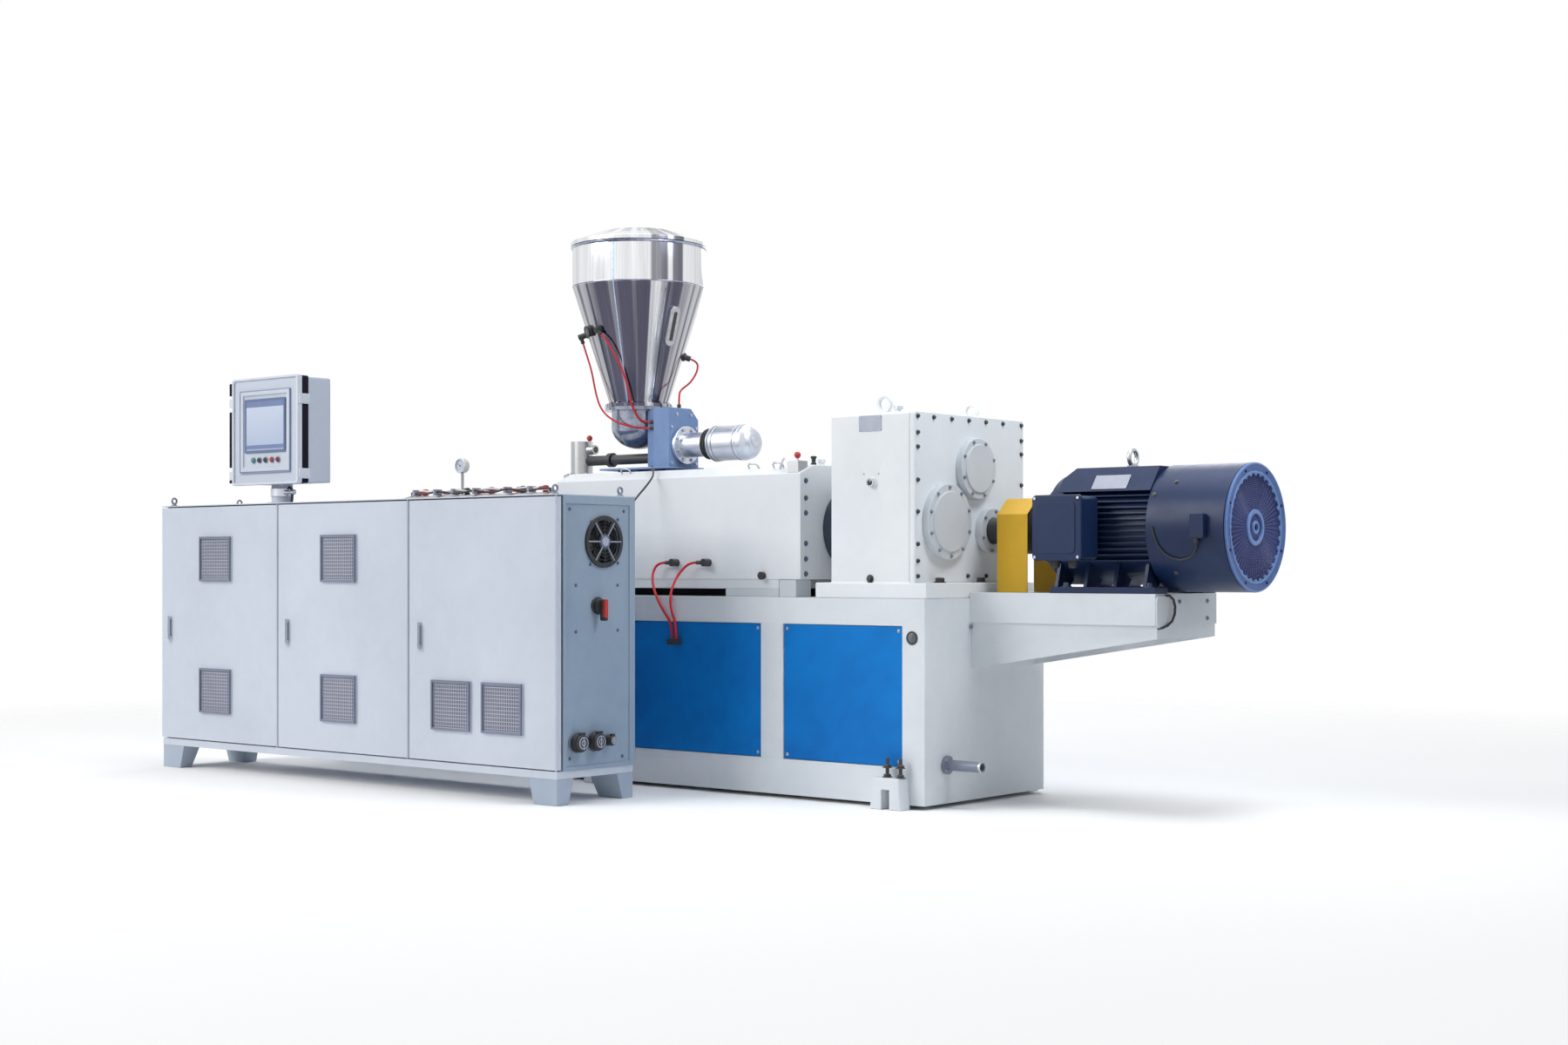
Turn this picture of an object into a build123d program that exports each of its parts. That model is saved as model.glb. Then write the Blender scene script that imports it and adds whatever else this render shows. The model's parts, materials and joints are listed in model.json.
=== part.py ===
from build123d import *
import os
from math import atan2, cos, degrees, pi, radians, sin, tan

os.makedirs("parts", exist_ok=True)

# Millimetres. X runs along the machine towards the main motor, Y away from the control
# cabinet, Z up. The origin is on the floor, under the middle of the whole machine.

# Shared fits
cut_over = 1.0
tangent_share = 0.45
seat_gap = 0.3
panel_gap = 2.0
small_chamfer = 4.0
three_quarter_turn = 270.0
right_angle = 90.0

# Base of the extruder
base_length = 3100.0
base_width = 772.0
base_top = 742.0
base_clear = 15.0
end_post = 97.0
mid_post = 105.0
drive_panel_width = 546.0
panel_low = 146.0
panel_high = 646.0
pocket_depth = 12.0
panel_thickness = 7.0
cable_hole_radius = 21.0
cable_hole_depth = 60.0
cable_hole_inset = 54.0
cable_hole_height = 604.0
top_plate = 14.0
top_plate_lip = 4.0

# Foundation feet of the base, each with a slot for its anchor bolt
foot_width = 134.0
foot_projection = 61.0
foot_height = 112.0
foot_inset = 61.0
foot_slot_width = 34.0
foot_slot_height = 70.0
foot_taper = 10.0

# Drain stub on the end of the base
stub_radius = 19.0
stub_bore = 15.0
stub_length = 153.0
stub_flange_radius = 33.0
stub_flange = 12.0
stub_inset = 132.0
stub_height = 152.0

# Motor, its shaft line and the bracket that carries it
motor_offset = 110.0
axis_height = 988.0
shaft_height = 225.0
foot_spread = 435.0
bracket_length = 755.0
channel_depth = 108.0
channel_flange = 70.0
bracket_plate = 12.0
web_root_depth = 167.0
web_tip_depth = 45.0
bracket_cross_width = 90.0

# Reduction gearbox
gearbox_setback = 68.0
gearbox_length = 374.0
gearbox_width = 705.0
gearbox_top = 1408.0
end_cover_thickness = 22.0
gearbox_foot_height = 56.0
gearbox_foot_lip = 18.0
gearbox_foot_reach = 60.0
gearbox_edge = 6.0
lower_cap_offset = -171.0
lower_cap_height = 1017.0
lower_cap_radius = 136.0
upper_cap_offset = 12.0
upper_cap_height = 1214.0
upper_cap_radius = 111.0
input_cap_radius = 84.0
cap_thickness = 28.0
cap_step = 7.0
cap_step_share = 0.8
sight_boss_radius = 17.0
sight_boss_length = 11.0
sight_height = 1158.0
eye_spread = 550.0
eye_ring_radius = 27.0
eye_bar_radius = 8.0
eye_collar_radius = 20.0
eye_collar_height = 10.0

# Coupling between the gearbox and the motor, and its guard
coupling_shaft_radius = 48.0
coupling_disc_radius = 86.0
coupling_disc_start = 88.0
coupling_disc_length = 72.0
guard_start = 55.0
guard_length = 130.0
guard_half_width = 125.0
guard_rise = 115.0
guard_chamfer_width = 65.0
guard_chamfer_height = 58.0
guard_thickness = 5.0
guard_foot_margin = 15.0

# Motor body
motor_face = 225.0
shield_length = 77.0
shield_radius = 190.0
shield_face_radius = 128.0
shield_boss_radius = 92.0
shield_boss = 14.0
frame_radius = 196.0
fin_radius = 214.0
fin_count = 12
fin_thickness = 5.0
fin_low = -112.0
fin_high = 112.0
cowl_start = 717.0
cowl_length = 303.0
cowl_radius = 220.0
cowl_wall = 5.0
cowl_ring_width = 26.0
cowl_ring_thickness = 10.0
grille_setback = 12.0
grille_thickness = 5.0
grille_hub_radius = 58.0
grille_hub_hole = 22.0
grille_hub_rise = 8.0
crown_start = 350.0
crown_chamfer = 38.0
crown_half_width = 118.0
crown_shoulder_width = 186.0
crown_shoulder_height = 128.0
motor_foot_start = 338.0
motor_foot_length = 413.0
motor_foot_thickness = 22.0
motor_foot_width = 92.0
foot_rib_thickness = 14.0
foot_rib_count = 4
terminal_start = 342.0
terminal_length = 196.0
terminal_height = 226.0
terminal_centre = 1.0
terminal_reach = 339.0
terminal_depth = 118.0
terminal_corner = 16.0
terminal_lid = 14.0
terminal_neck_share = 0.7

# Drive housing between the gearbox and the feed block, in its sheet cover
housing_end = 640.0
housing_length = 1290.0
housing_width = 572.0
housing_top = 1240.0
housing_low = 808.0
housing_shoulder_width = 80.0
housing_shoulder_drop = 34.0
tray_low = 772.0
tray_inset = 6.0
tray_shortfall = 110.0
flange_radius = 152.0
flange_thickness = 40.0
flange_neck_radius = 128.0
screw_height = 1000.0

# Barrel side, behind the control cabinet
feed_block_length = 205.0
feed_block_width = 300.0
feed_block_top = 1160.0
feed_block_low = 830.0
barrel_cover_length = 950.0
barrel_cover_width = 388.0
barrel_cover_low = 850.0
barrel_collar_length = 60.0
barrel_collar_radius = 150.0
head_flange_radius = 132.0
head_flange_length = 55.0
head_cone_length = 150.0
head_nose_radius = 62.0
head_bore_radius = 32.0
head_bore_depth = 90.0
pedestal_length = 160.0
pedestal_width = 300.0
pedestal_plate = 16.0
gauge_radius = 32.0
gauge_depth = 26.0
gauge_stem_radius = 7.0
gauge_height = 1311.0
gauge_place = 2825.0

# Supports under the housing
support_block_length = 82.0
support_block_width = 90.0
support_block_setback = 26.0
support_pad_length = 265.0

# Feed drop tube with its sight glass
drop_inset = 140.0
drop_radius = 47.0
drop_top = 1389.0
drop_low = 1247.0
drop_flange_radius = 78.0
drop_flange_thickness = 24.0
glass_radius = 36.0
glass_wall = 5.0
knob_stem_radius = 4.0
knob_radius = 11.0
knob_rise = 22.0
drop_knob_rise = 16.0
drop_knob_aside = (25.0, 21.0)
drop_port_radius = 19.0
drop_port_length = 32.0
drop_port_height = 1353.0

# Feeder
hopper_inset = 194.0
hopper_radius = 276.0
hopper_wall = 3.0
hopper_cone_low = 1531.0
hopper_cone_height = 486.0
hopper_cylinder_height = 167.0
hopper_outlet_radius = 118.5
hopper_flange_radius = 141.0
hopper_flange_thickness = 14.0
rim_bead = 7.0
lid_rise = 62.0
lid_crown_share = 0.55
lid_lip = 16.0
bowl_radius = 114.0
bowl_low = 1346.0
bowl_round = 92.0
bowl_flange_thickness = 14.0
feed_tube_radius = 21.0
feed_tube_height = 1306.0
tube_clamp_radius = 30.0
tube_clamp_length = 22.0
tube_clamp_inset = 25.0
gear_housing_length = 85.0
gear_housing_width = 180.0
gear_housing_inset = 360.0
gear_housing_top = 1505.0
gear_housing_chamfer = 45.0
mount_plate_thickness = 56.0
mount_plate_width = 130.0
feeder_plate_top = 1264.0
feeder_plate_thickness = 8.0
feeder_plate_width = 220.0
feeder_plate_inset = 72.0
feeder_plate_length = 388.0
feeder_foot_length = 110.0
feeder_motor_height = 1353.0
motor_flange_radius = 78.0
motor_flange_length = 20.0
reducer_radius = 50.0
reducer_length = 118.0
motor_ring_radius = 58.0
motor_ring_length = 42.0
feeder_motor_radius = 70.0
feeder_motor_length = 204.0
feeder_motor_round = 44.0
window_rise = 311.0
window_length = 165.0
window_width = 46.0
window_thickness = 12.0
window_azimuth = -10.0
sensor_radius = 12.0
sensor_length = 44.0
side_sensor_length = 30.0
sensor_nut_radius = 18.0
sensor_nut_length = 8.0
sensor_rise = 298.0
side_sensor_rise = 201.0
left_sensor_azimuth = -150.0
sight_azimuth = -114.0
middle_sensor_azimuth = -95.0
side_sensor_azimuth = 43.0
hopper_sight_radius = 23.0
hopper_sight_length = 14.0
elbow_radius = 8.0
elbow_length = 30.0
elbow_place = 34.0
middle_sensor_length = 24.0
middle_elbow_place = 14.0
middle_elbow_length = 26.0

# Vent valve on the housing
valve_place = 681.0
valve_inset = 34.0
valve_length = 52.0
valve_width = 56.0
valve_height = 52.0
valve_drop = 38.0

# Hose fittings on the housing and the gland that the hoses go into
hose_radius = 5.0
fitting_height = 872.0
left_fitting_place = 1262.0
right_fitting_place = 1095.0
fitting_radius = 15.0
fitting_length = 34.0
fitting_nozzle_radius = 8.0
left_nozzle_length = 20.0
right_nozzle_length = 25.0
plug_place = 822.0
plug_height = 822.0
gland_width = 46.0
gland_depth = 36.0
gland_height = 24.0
gland_place = 1173.0
gland_level = 580.0
gland_spread = 20.0
hose_approach = 52.0
left_hose_steps = ((-38, 0, 0), (-21, -10, -32), (26, -33, -42), (62, -46, -54), (44, -4, -59))
right_hose_steps = ((-39, 0, 0), (-38, -13, -38), (-2, -30, -39), (20, -46, -50), (12, -6, -55))

# Cables of the level sensors and of the feeder motor, with their glands
cable_radius = 4.0
cable_gland_radius = 8.0
cable_gland_length = 26.0
side_gland_inset = 12.0
lower_gland_drop = 80.0
upper_gland_drop = 55.0
top_gland_length = 20.0
top_gland_inset_x = 33.0
top_gland_inset_y = 61.0
rear_gland_length = 22.0
rear_gland_height = 1000.0
rear_gland_place = 1300.0
foot_gland_length = 12.0
foot_gland_inset = 15.0
cable_approach = 42.0
left_cable_first = 45.0
left_cable_steps = (
    (53, -21, -78), (33, -10, -98), (40, -8, -70), (70, 4, -48), (74, 26, -24)
)
middle_cable_first = 36.0
middle_cable_steps = ((26, 17, -57), (14, 34, -60), (6, 26, -73), (8, 10, -67), (9, 24, -50))
side_cable_first = 34.0
side_cable_steps = ((6, -12, -44), (-4, -38, -48), (-6, -50, -30))
feeder_cable_steps = (
    (0, -63, 0), (60, -63, 6), (60, -60, -8), (52, -53, -30), (6, -42, -38), (-16, -42, -48),
    (6, -60, -52), (20, -73, -44), (30, -70, -26),
)

# Control cabinet
cabinet_gap = 1087.0
cabinet_clear = 322.0
bay_width = 804.0
bay_count = 3
cabinet_depth = 403.0
cabinet_top = 1116.0
cabinet_low = 95.0
cabinet_wall = 4.0
plinth_height = 28.0
plinth_inset = 6.0
post_width = 44.0
post_depth = 30.0
roof_lip = 26.0
mounting_plate_thickness = 4.0
mounting_plate_margin = 60.0
mounting_plate_stand = 24.0
end_panel_thickness = 14.0
end_recess = 5.0
end_frame_width = 30.0
end_frame_narrow = 14.0
roof_thickness = 4.0
cabinet_foot_width = 148.0
cabinet_foot_depth = 84.0
cabinet_foot_taper = 26.0

# Doors
door_gap = 8.0
door_end_gap = 5.0
door_thickness = 24.0
door_skin = 3.0
door_standoff = 7.0
door_edge_round = 3.0
hinge_pin_radius = 4.0
hinge_fit = 0.05
hinge_inset = 8.0
hinge_ear = 22.0
door_open_angle = 110.0
vent_width = 216.0
vent_height = 190.0
vent_rise = 5.0
vent_rim = 12.0
vent_slat = 8.0
vent_slat_count = 9
latch_width = 24.0
latch_height = 96.0
latch_stand = 20.0
latch_inset = 58.0
latch_grip = 12.0
latch_level = 597.0
vent_low_level = 338.0
vent_high_level = 889.0
vent_inset = 388.0
vent_pair_inset = 242.0
vent_pair_pitch = 277.0

# Fan, isolator and sockets on the cabinet's near end
fan_radius = 95.0
fan_level = 947.0
fan_offset = 38.0
fan_ring = 14.0
fan_guard_rise = 9.0
fan_strut_width = 9.0
fan_strut_count = 6
fan_hub_radius = 30.0
fan_hub_length = 34.0
fan_blade_count = 7
fan_blade_radius = 80.0
fan_blade_width = 26.0
fan_blade_thickness = 3.0
fan_blade_pitch = 32.0
fan_clear = 6.0
fan_shaft_radius = 5.0
fan_motor_radius = 34.0
fan_motor_length = 30.0
isolator_offset = 6.0
isolator_level = 714.0
isolator_radius = 32.0
isolator_plate = 8.0
isolator_boss = 14.0
isolator_lever_length = 78.0
isolator_lever_width = 16.0
isolator_lever_height = 26.0
isolator_lever_drop = 16.0
isolator_shaft_radius = 6.0
socket_level = 222.0
socket_places = (-103.0, -14.0, 54.0)
socket_radii = (34.0, 34.0, 20.0)
socket_length = 30.0

# Operator box on its post
hmi_place = 2930.0
hmi_width = 427.0
hmi_height = 435.0
hmi_depth = 168.0
hmi_low = 1205.0
hmi_corner = 8.0
hmi_frame_margin = 48.0
hmi_frame_rise = 7.0
hmi_frame_width = 20.0
hmi_screen_width = 262.0
hmi_screen_height = 214.0
hmi_screen_thickness = 5.0
hmi_screen_raise = 22.0
hmi_post_radius = 44.0
hmi_post_flange_radius = 62.0
hmi_post_flange = 10.0
hmi_rear_lip = 9.0
hmi_rear_lip_depth = 40.0
hmi_swivel_angle = 90.0

# Places that follow from the sizes above
cowl_end = cowl_start + cowl_length
hopper_cone_top = hopper_cone_low + hopper_cone_height
hopper_rim_height = hopper_cone_top + hopper_cylinder_height
cabinet_length = bay_width * bay_count
cabinet_reach = cabinet_gap + cabinet_length
front_reach = base_width / 2 + cabinet_clear + cabinet_depth + latch_stand
rear_reach = base_width / 2 + foot_projection
drive_x = (cabinet_reach - cowl_end) / 2
line_y = (front_reach - rear_reach) / 2
base_front = line_y - base_width / 2
base_rear = line_y + base_width / 2
base_tail = drive_x - base_length
motor_y = line_y + motor_offset
bracket_top = axis_height - shaft_height
panel_span = base_length - 2 * end_post - 2 * mid_post - drive_panel_width
rest_panel_width = panel_span / 2
panel_starts = (
    drive_x - end_post - drive_panel_width,
    drive_x - end_post - drive_panel_width - mid_post - rest_panel_width,
    base_tail + end_post,
)
panel_widths = (drive_panel_width, rest_panel_width, rest_panel_width)
foot_centres = (
    drive_x - foot_inset - foot_width / 2,
    drive_x - base_length / 2,
    base_tail + foot_inset + foot_width / 2,
)


def save(piece, name):
    piece.part.label = name
    export_step(piece.part, "parts/" + name + ".step")


def middle(low, high):
    return (low + high) / 2


# Base frame: welded box with a pocket for each side panel
with BuildPart() as base_frame:
    with Locations((middle(base_tail, drive_x), line_y, base_clear)):
        Box(base_length, base_width, base_top - base_clear, align=(Align.CENTER, Align.CENTER, Align.MIN))
    panel_height = panel_high - panel_low
    for start, width in zip(panel_starts, panel_widths):
        for side in (-1, 1):
            face_y = line_y + side * (base_width / 2 - pocket_depth / 2)
            with Locations((start + width / 2, face_y, middle(panel_low, panel_high))):
                Box(width, pocket_depth, panel_height, mode=Mode.SUBTRACT)
    hole_plane = Plane(origin=(drive_x - cable_hole_inset, base_front, cable_hole_height), z_dir=(0, -1, 0))
    with BuildSketch(hole_plane):
        Circle(cable_hole_radius)
    extrude(amount=-cable_hole_depth, mode=Mode.SUBTRACT)
save(base_frame, "base_frame")

# Side panels, seated against the bottoms of their pockets
with BuildPart() as base_panels:
    for start, width in zip(panel_starts, panel_widths):
        for side in (-1, 1):
            face_y = line_y + side * (base_width / 2 - pocket_depth + panel_thickness / 2)
            with Locations((start + width / 2, face_y, middle(panel_low, panel_high))):
                Box(width - 2 * panel_gap, panel_thickness, panel_high - panel_low - 2 * panel_gap)
save(base_panels, "base_panels")

# Foundation feet along both sides, each notched for its anchor bolt
with BuildPart() as base_feet:
    for centre in foot_centres:
        for side in (-1, 1):
            inner_y = line_y + side * base_width / 2
            outer_y = inner_y + side * foot_projection
            with BuildSketch(Plane.XZ.offset(-inner_y)) as foot_face:
                with BuildLine():
                    Polyline(
                        (centre - foot_width / 2, 0),
                        (centre - foot_slot_width / 2, 0),
                        (centre - foot_slot_width / 2, foot_slot_height),
                        (centre + foot_slot_width / 2, foot_slot_height),
                        (centre + foot_slot_width / 2, 0),
                        (centre + foot_width / 2, 0),
                        (centre + foot_width / 2 - foot_taper, foot_height),
                        (centre - foot_width / 2 + foot_taper, foot_height),
                        close=True,
                    )
                make_face()
            extrude(amount=-side * foot_projection)
save(base_feet, "base_feet")

# Drain stub with its weld flange on the end of the base
with BuildPart() as pipe_stub:
    stub_plane = Plane(origin=(drive_x, base_front + stub_inset, stub_height), z_dir=(1, 0, 0))
    with BuildSketch(stub_plane):
        Circle(stub_flange_radius)
    extrude(amount=stub_flange)
    with BuildSketch(stub_plane):
        Circle(stub_radius)
    extrude(amount=stub_length)
    with BuildSketch(stub_plane.offset(stub_flange)):
        Circle(stub_bore)
    extrude(amount=stub_length, mode=Mode.SUBTRACT)
save(pipe_stub, "pipe_stub")

# Motor bracket: two channels on tapered webs, tied by cross members
bracket_front = motor_y - foot_spread / 2
bracket_rear = motor_y + foot_spread / 2
channel_low = bracket_top - channel_depth
with BuildPart() as motor_bracket:
    for side in (-1, 1):
        outer_y = motor_y + side * foot_spread / 2
        with BuildSketch(Plane.YZ.offset(drive_x)):
            with BuildLine():
                Polyline(
                    (outer_y, channel_low),
                    (outer_y, bracket_top),
                    (outer_y - side * channel_flange, bracket_top),
                    (outer_y - side * channel_flange, bracket_top - bracket_plate),
                    (outer_y - side * bracket_plate, bracket_top - bracket_plate),
                    (outer_y - side * bracket_plate, channel_low + bracket_plate),
                    (outer_y - side * channel_flange, channel_low + bracket_plate),
                    (outer_y - side * channel_flange, channel_low),
                    close=True,
                )
            make_face()
        extrude(amount=bracket_length)
        with BuildSketch(Plane.XZ.offset(-(outer_y - side * bracket_plate))):
            with BuildLine():
                Polyline(
                    (drive_x, channel_low),
                    (drive_x + bracket_length, channel_low),
                    (drive_x + bracket_length, channel_low - web_tip_depth),
                    (drive_x, channel_low - web_root_depth),
                    close=True,
                )
            make_face()
        extrude(amount=side * bracket_plate)
    inner_width = foot_spread - 2 * bracket_plate
    for start, depth in (
        (0, channel_depth + web_root_depth),
        (bracket_length - bracket_plate, channel_depth + web_tip_depth),
    ):
        with Locations((drive_x + start + bracket_plate / 2, motor_y, bracket_top - depth / 2)):
            Box(bracket_plate, inner_width, depth)
    for start, width in (
        (guard_start - guard_foot_margin, guard_length + 2 * guard_foot_margin),
        (motor_foot_start, bracket_cross_width),
        (motor_foot_start + motor_foot_length - bracket_cross_width, bracket_cross_width),
    ):
        with Locations((drive_x + start + width / 2, motor_y, bracket_top - bracket_plate / 2)):
            Box(width, inner_width, bracket_plate)
save(motor_bracket, "motor_bracket")

# Gearbox housing on its foot flange
gearbox_end = drive_x - gearbox_setback
gearbox_start = gearbox_end - gearbox_length
housing_block_length = gearbox_length - end_cover_thickness
with BuildPart() as gearbox_housing:
    with Locations((gearbox_start + housing_block_length / 2, line_y, base_top)):
        Box(
            housing_block_length,
            gearbox_width,
            gearbox_top - base_top,
            align=(Align.CENTER, Align.CENTER, Align.MIN),
        )
    top_edges = gearbox_housing.faces().sort_by(Axis.Z)[-1].edges().filter_by(Axis.X)
    chamfer(top_edges, gearbox_edge)
    foot_end = drive_x - small_chamfer
    foot_start = gearbox_start - gearbox_foot_reach
    with Locations((middle(foot_start, foot_end), line_y, base_top)):
        Box(
            foot_end - foot_start,
            gearbox_width + 2 * gearbox_foot_lip,
            gearbox_foot_height,
            align=(Align.CENTER, Align.CENTER, Align.MIN),
        )
    sight_plane = Plane(
        origin=(middle(gearbox_start, gearbox_end), line_y - gearbox_width / 2, sight_height), z_dir=(0, -1, 0)
    )
    with BuildSketch(sight_plane):
        Circle(sight_boss_radius)
    extrude(amount=sight_boss_length)
save(gearbox_housing, "gearbox_housing")

# End cover of the gearbox
with BuildPart() as gearbox_end_cover:
    with Locations((gearbox_end - end_cover_thickness / 2, line_y, middle(base_top + gearbox_foot_height, gearbox_top))):
        Box(end_cover_thickness, gearbox_width, gearbox_top - base_top - gearbox_foot_height)
    chamfer(gearbox_end_cover.faces().sort_by(Axis.Z)[-1].edges().filter_by(Axis.X), gearbox_edge)
save(gearbox_end_cover, "gearbox_end_cover")

# Bearing caps on the end cover: two blind ones and the bored one at the input shaft
with BuildPart() as bearing_caps:
    for offset, height, radius in (
        (lower_cap_offset, lower_cap_height, lower_cap_radius),
        (upper_cap_offset, upper_cap_height, upper_cap_radius),
    ):
        cap_plane = Plane(origin=(gearbox_end, line_y + offset, height), z_dir=(1, 0, 0))
        with BuildSketch(cap_plane):
            Circle(radius)
        extrude(amount=cap_thickness)
        with BuildSketch(cap_plane.offset(cap_thickness)):
            Circle(radius * cap_step_share)
        extrude(amount=cap_step)
    input_plane = Plane(origin=(gearbox_end, motor_y, axis_height), z_dir=(1, 0, 0))
    with BuildSketch(input_plane):
        Circle(input_cap_radius)
        Circle(coupling_shaft_radius + seat_gap, mode=Mode.SUBTRACT)
    extrude(amount=cap_thickness)
save(bearing_caps, "bearing_caps")

# Coupling: hubs on the two shafts with a wider disc between them
coupling_plane = Plane(origin=(gearbox_end, motor_y, axis_height), z_dir=(1, 0, 0))
with BuildPart() as drive_coupling:
    with BuildSketch(coupling_plane):
        Circle(coupling_shaft_radius)
    extrude(amount=gearbox_setback + motor_face - shield_boss)
    with BuildSketch(coupling_plane.offset(gearbox_setback + coupling_disc_start)):
        Circle(coupling_disc_radius)
    extrude(amount=coupling_disc_length)
save(drive_coupling, "drive_coupling")

# Folded guard over the coupling, standing on the bracket
with BuildPart() as coupling_guard:
    guard_top = axis_height + guard_rise
    shoulder = guard_top - guard_chamfer_height
    with BuildSketch(Plane.YZ.offset(drive_x + guard_start)) as guard_face:
        with BuildLine():
            Polyline(
                (motor_y - guard_half_width, bracket_top),
                (motor_y - guard_half_width, shoulder),
                (motor_y - guard_half_width + guard_chamfer_width, guard_top),
                (motor_y + guard_half_width - guard_chamfer_width, guard_top),
                (motor_y + guard_half_width, shoulder),
                (motor_y + guard_half_width, bracket_top),
                close=True,
            )
        make_face()
        with BuildLine():
            Polyline(
                (motor_y - guard_half_width + guard_thickness, bracket_top),
                (motor_y - guard_half_width + guard_thickness, shoulder - guard_thickness / 2),
                (motor_y - guard_half_width + guard_chamfer_width + guard_thickness / 2, guard_top - guard_thickness),
                (motor_y + guard_half_width - guard_chamfer_width - guard_thickness / 2, guard_top - guard_thickness),
                (motor_y + guard_half_width - guard_thickness, shoulder - guard_thickness / 2),
                (motor_y + guard_half_width - guard_thickness, bracket_top),
                close=True,
            )
        make_face(mode=Mode.SUBTRACT)
    extrude(amount=guard_length)
save(coupling_guard, "coupling_guard")


def lifting_eye(x, y, base_z, facing):
    """Collar and ring, the ring in a plane that faces along the given direction."""
    centre_z = base_z + eye_collar_height + eye_ring_radius
    with Locations((x, y, base_z)):
        Cylinder(eye_collar_radius, eye_collar_height, align=(Align.CENTER, Align.CENTER, Align.MIN))
    with Locations(Plane(origin=(x, y, centre_z), z_dir=facing)):
        Torus(eye_ring_radius, eye_bar_radius)


# Two lifting eyes on the gearbox
with BuildPart() as gearbox_lifting_eyes:
    for offset in (-eye_spread / 2, eye_spread / 2):
        lifting_eye(middle(gearbox_start, gearbox_end), line_y + offset, gearbox_top, (0, 1, 0))
save(gearbox_lifting_eyes, "gearbox_lifting_eyes")

# Flat crown over the end of the motor frame, with its first edge sloped
with BuildPart() as motor_crown:
    with BuildSketch(Plane.YZ.offset(drive_x + crown_start)):
        with BuildLine():
            Polyline(
                (motor_y - crown_shoulder_width, axis_height + crown_shoulder_height),
                (motor_y - crown_half_width, axis_height + fin_radius),
                (motor_y + crown_half_width, axis_height + fin_radius),
                (motor_y + crown_shoulder_width, axis_height + crown_shoulder_height),
                close=True,
            )
        make_face()
    extrude(amount=cowl_start - crown_start)
    crown_edges = motor_crown.edges().filter_by(Axis.Y).group_by(Axis.Z)[-1]
    chamfer(crown_edges.sort_by(Axis.X)[0], crown_chamfer)

# Motor casting: end shield, finned frame with a flat crown, and feet with ribs
frame_start = drive_x + motor_face + shield_length
frame_length = cowl_start - motor_face - shield_length
with BuildPart() as motor_frame:
    with BuildSketch(Plane.YZ.offset(drive_x + motor_face - shield_boss)):
        with Locations((motor_y, axis_height)):
            Circle(shield_boss_radius)
    extrude(amount=shield_boss)
    with Locations(Plane(origin=(drive_x + motor_face, motor_y, axis_height), z_dir=(1, 0, 0))):
        Cone(shield_face_radius, shield_radius, shield_length, align=(Align.CENTER, Align.CENTER, Align.MIN))
    with BuildSketch(Plane.YZ.offset(frame_start)) as frame_section:
        fin_pitch = (fin_high - fin_low) / (fin_count - 1)
        with Locations((motor_y, axis_height)):
            Circle(frame_radius)
        for index in range(fin_count):
            with Locations((motor_y, axis_height + fin_low + index * fin_pitch)):
                Rectangle(2 * fin_radius, fin_thickness)
        with Locations((motor_y, axis_height)):
            Circle(fin_radius, mode=Mode.INTERSECT)
    extrude(amount=frame_length)
    add(motor_crown.part)
    for side in (-1, 1):
        outer_y = motor_y + side * foot_spread / 2
        plate_y = outer_y - side * motor_foot_width / 2
        with Locations((drive_x + motor_foot_start + motor_foot_length / 2, plate_y, bracket_top)):
            Box(
                motor_foot_length,
                motor_foot_width,
                motor_foot_thickness,
                align=(Align.CENTER, Align.CENTER, Align.MIN),
            )
        rib_span = cowl_start - motor_foot_start - foot_rib_thickness
        rib_pitch = (rib_span - foot_rib_thickness) / (foot_rib_count - 1)
        for index in range(foot_rib_count):
            rib_x = drive_x + motor_foot_start + index * rib_pitch
            with BuildSketch(Plane.YZ.offset(rib_x)):
                with BuildLine():
                    Polyline(
                        (outer_y - side * motor_foot_width / 4, bracket_top),
                        (motor_y + side * frame_radius * cap_step_share, axis_height - frame_radius / 2),
                        (motor_y, axis_height - frame_radius / 2),
                        (outer_y - side * motor_foot_width, bracket_top),
                        close=True,
                    )
                make_face()
            extrude(amount=foot_rib_thickness)
save(motor_frame, "motor_frame")

# Terminal box on the motor's side, with a raised lid
with BuildPart() as motor_terminal_box:
    box_front = motor_y - terminal_reach
    box_back = box_front + terminal_depth
    box_centre = (drive_x + terminal_start + terminal_length / 2, axis_height + terminal_centre)
    with BuildSketch(Plane.XZ.offset(-(box_front + terminal_lid))):
        with Locations(box_centre):
            RectangleRounded(
                terminal_length - 2 * small_chamfer, terminal_height - 2 * small_chamfer, terminal_corner
            )
    extrude(amount=terminal_lid - terminal_depth)
    with BuildSketch(Plane.XZ.offset(-(box_front + terminal_lid))):
        with Locations(box_centre):
            RectangleRounded(terminal_length, terminal_height, terminal_corner)
    extrude(amount=terminal_lid)
    fillet(motor_terminal_box.faces().sort_by(Axis.Y)[0].edges(), small_chamfer)
    neck_reach = terminal_reach - terminal_depth
    with BuildSketch(Plane.XZ.offset(-box_back)):
        with Locations(box_centre):
            Rectangle(terminal_length * terminal_neck_share, terminal_height * terminal_neck_share)
    extrude(amount=-(neck_reach - frame_radius * cap_step_share))
    with BuildSketch(Plane.YZ.offset(drive_x + terminal_start)):
        with Locations((motor_y, axis_height)):
            Circle(fin_radius + seat_gap)
    extrude(amount=terminal_length, mode=Mode.SUBTRACT)
save(motor_terminal_box, "motor_terminal_box")

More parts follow.
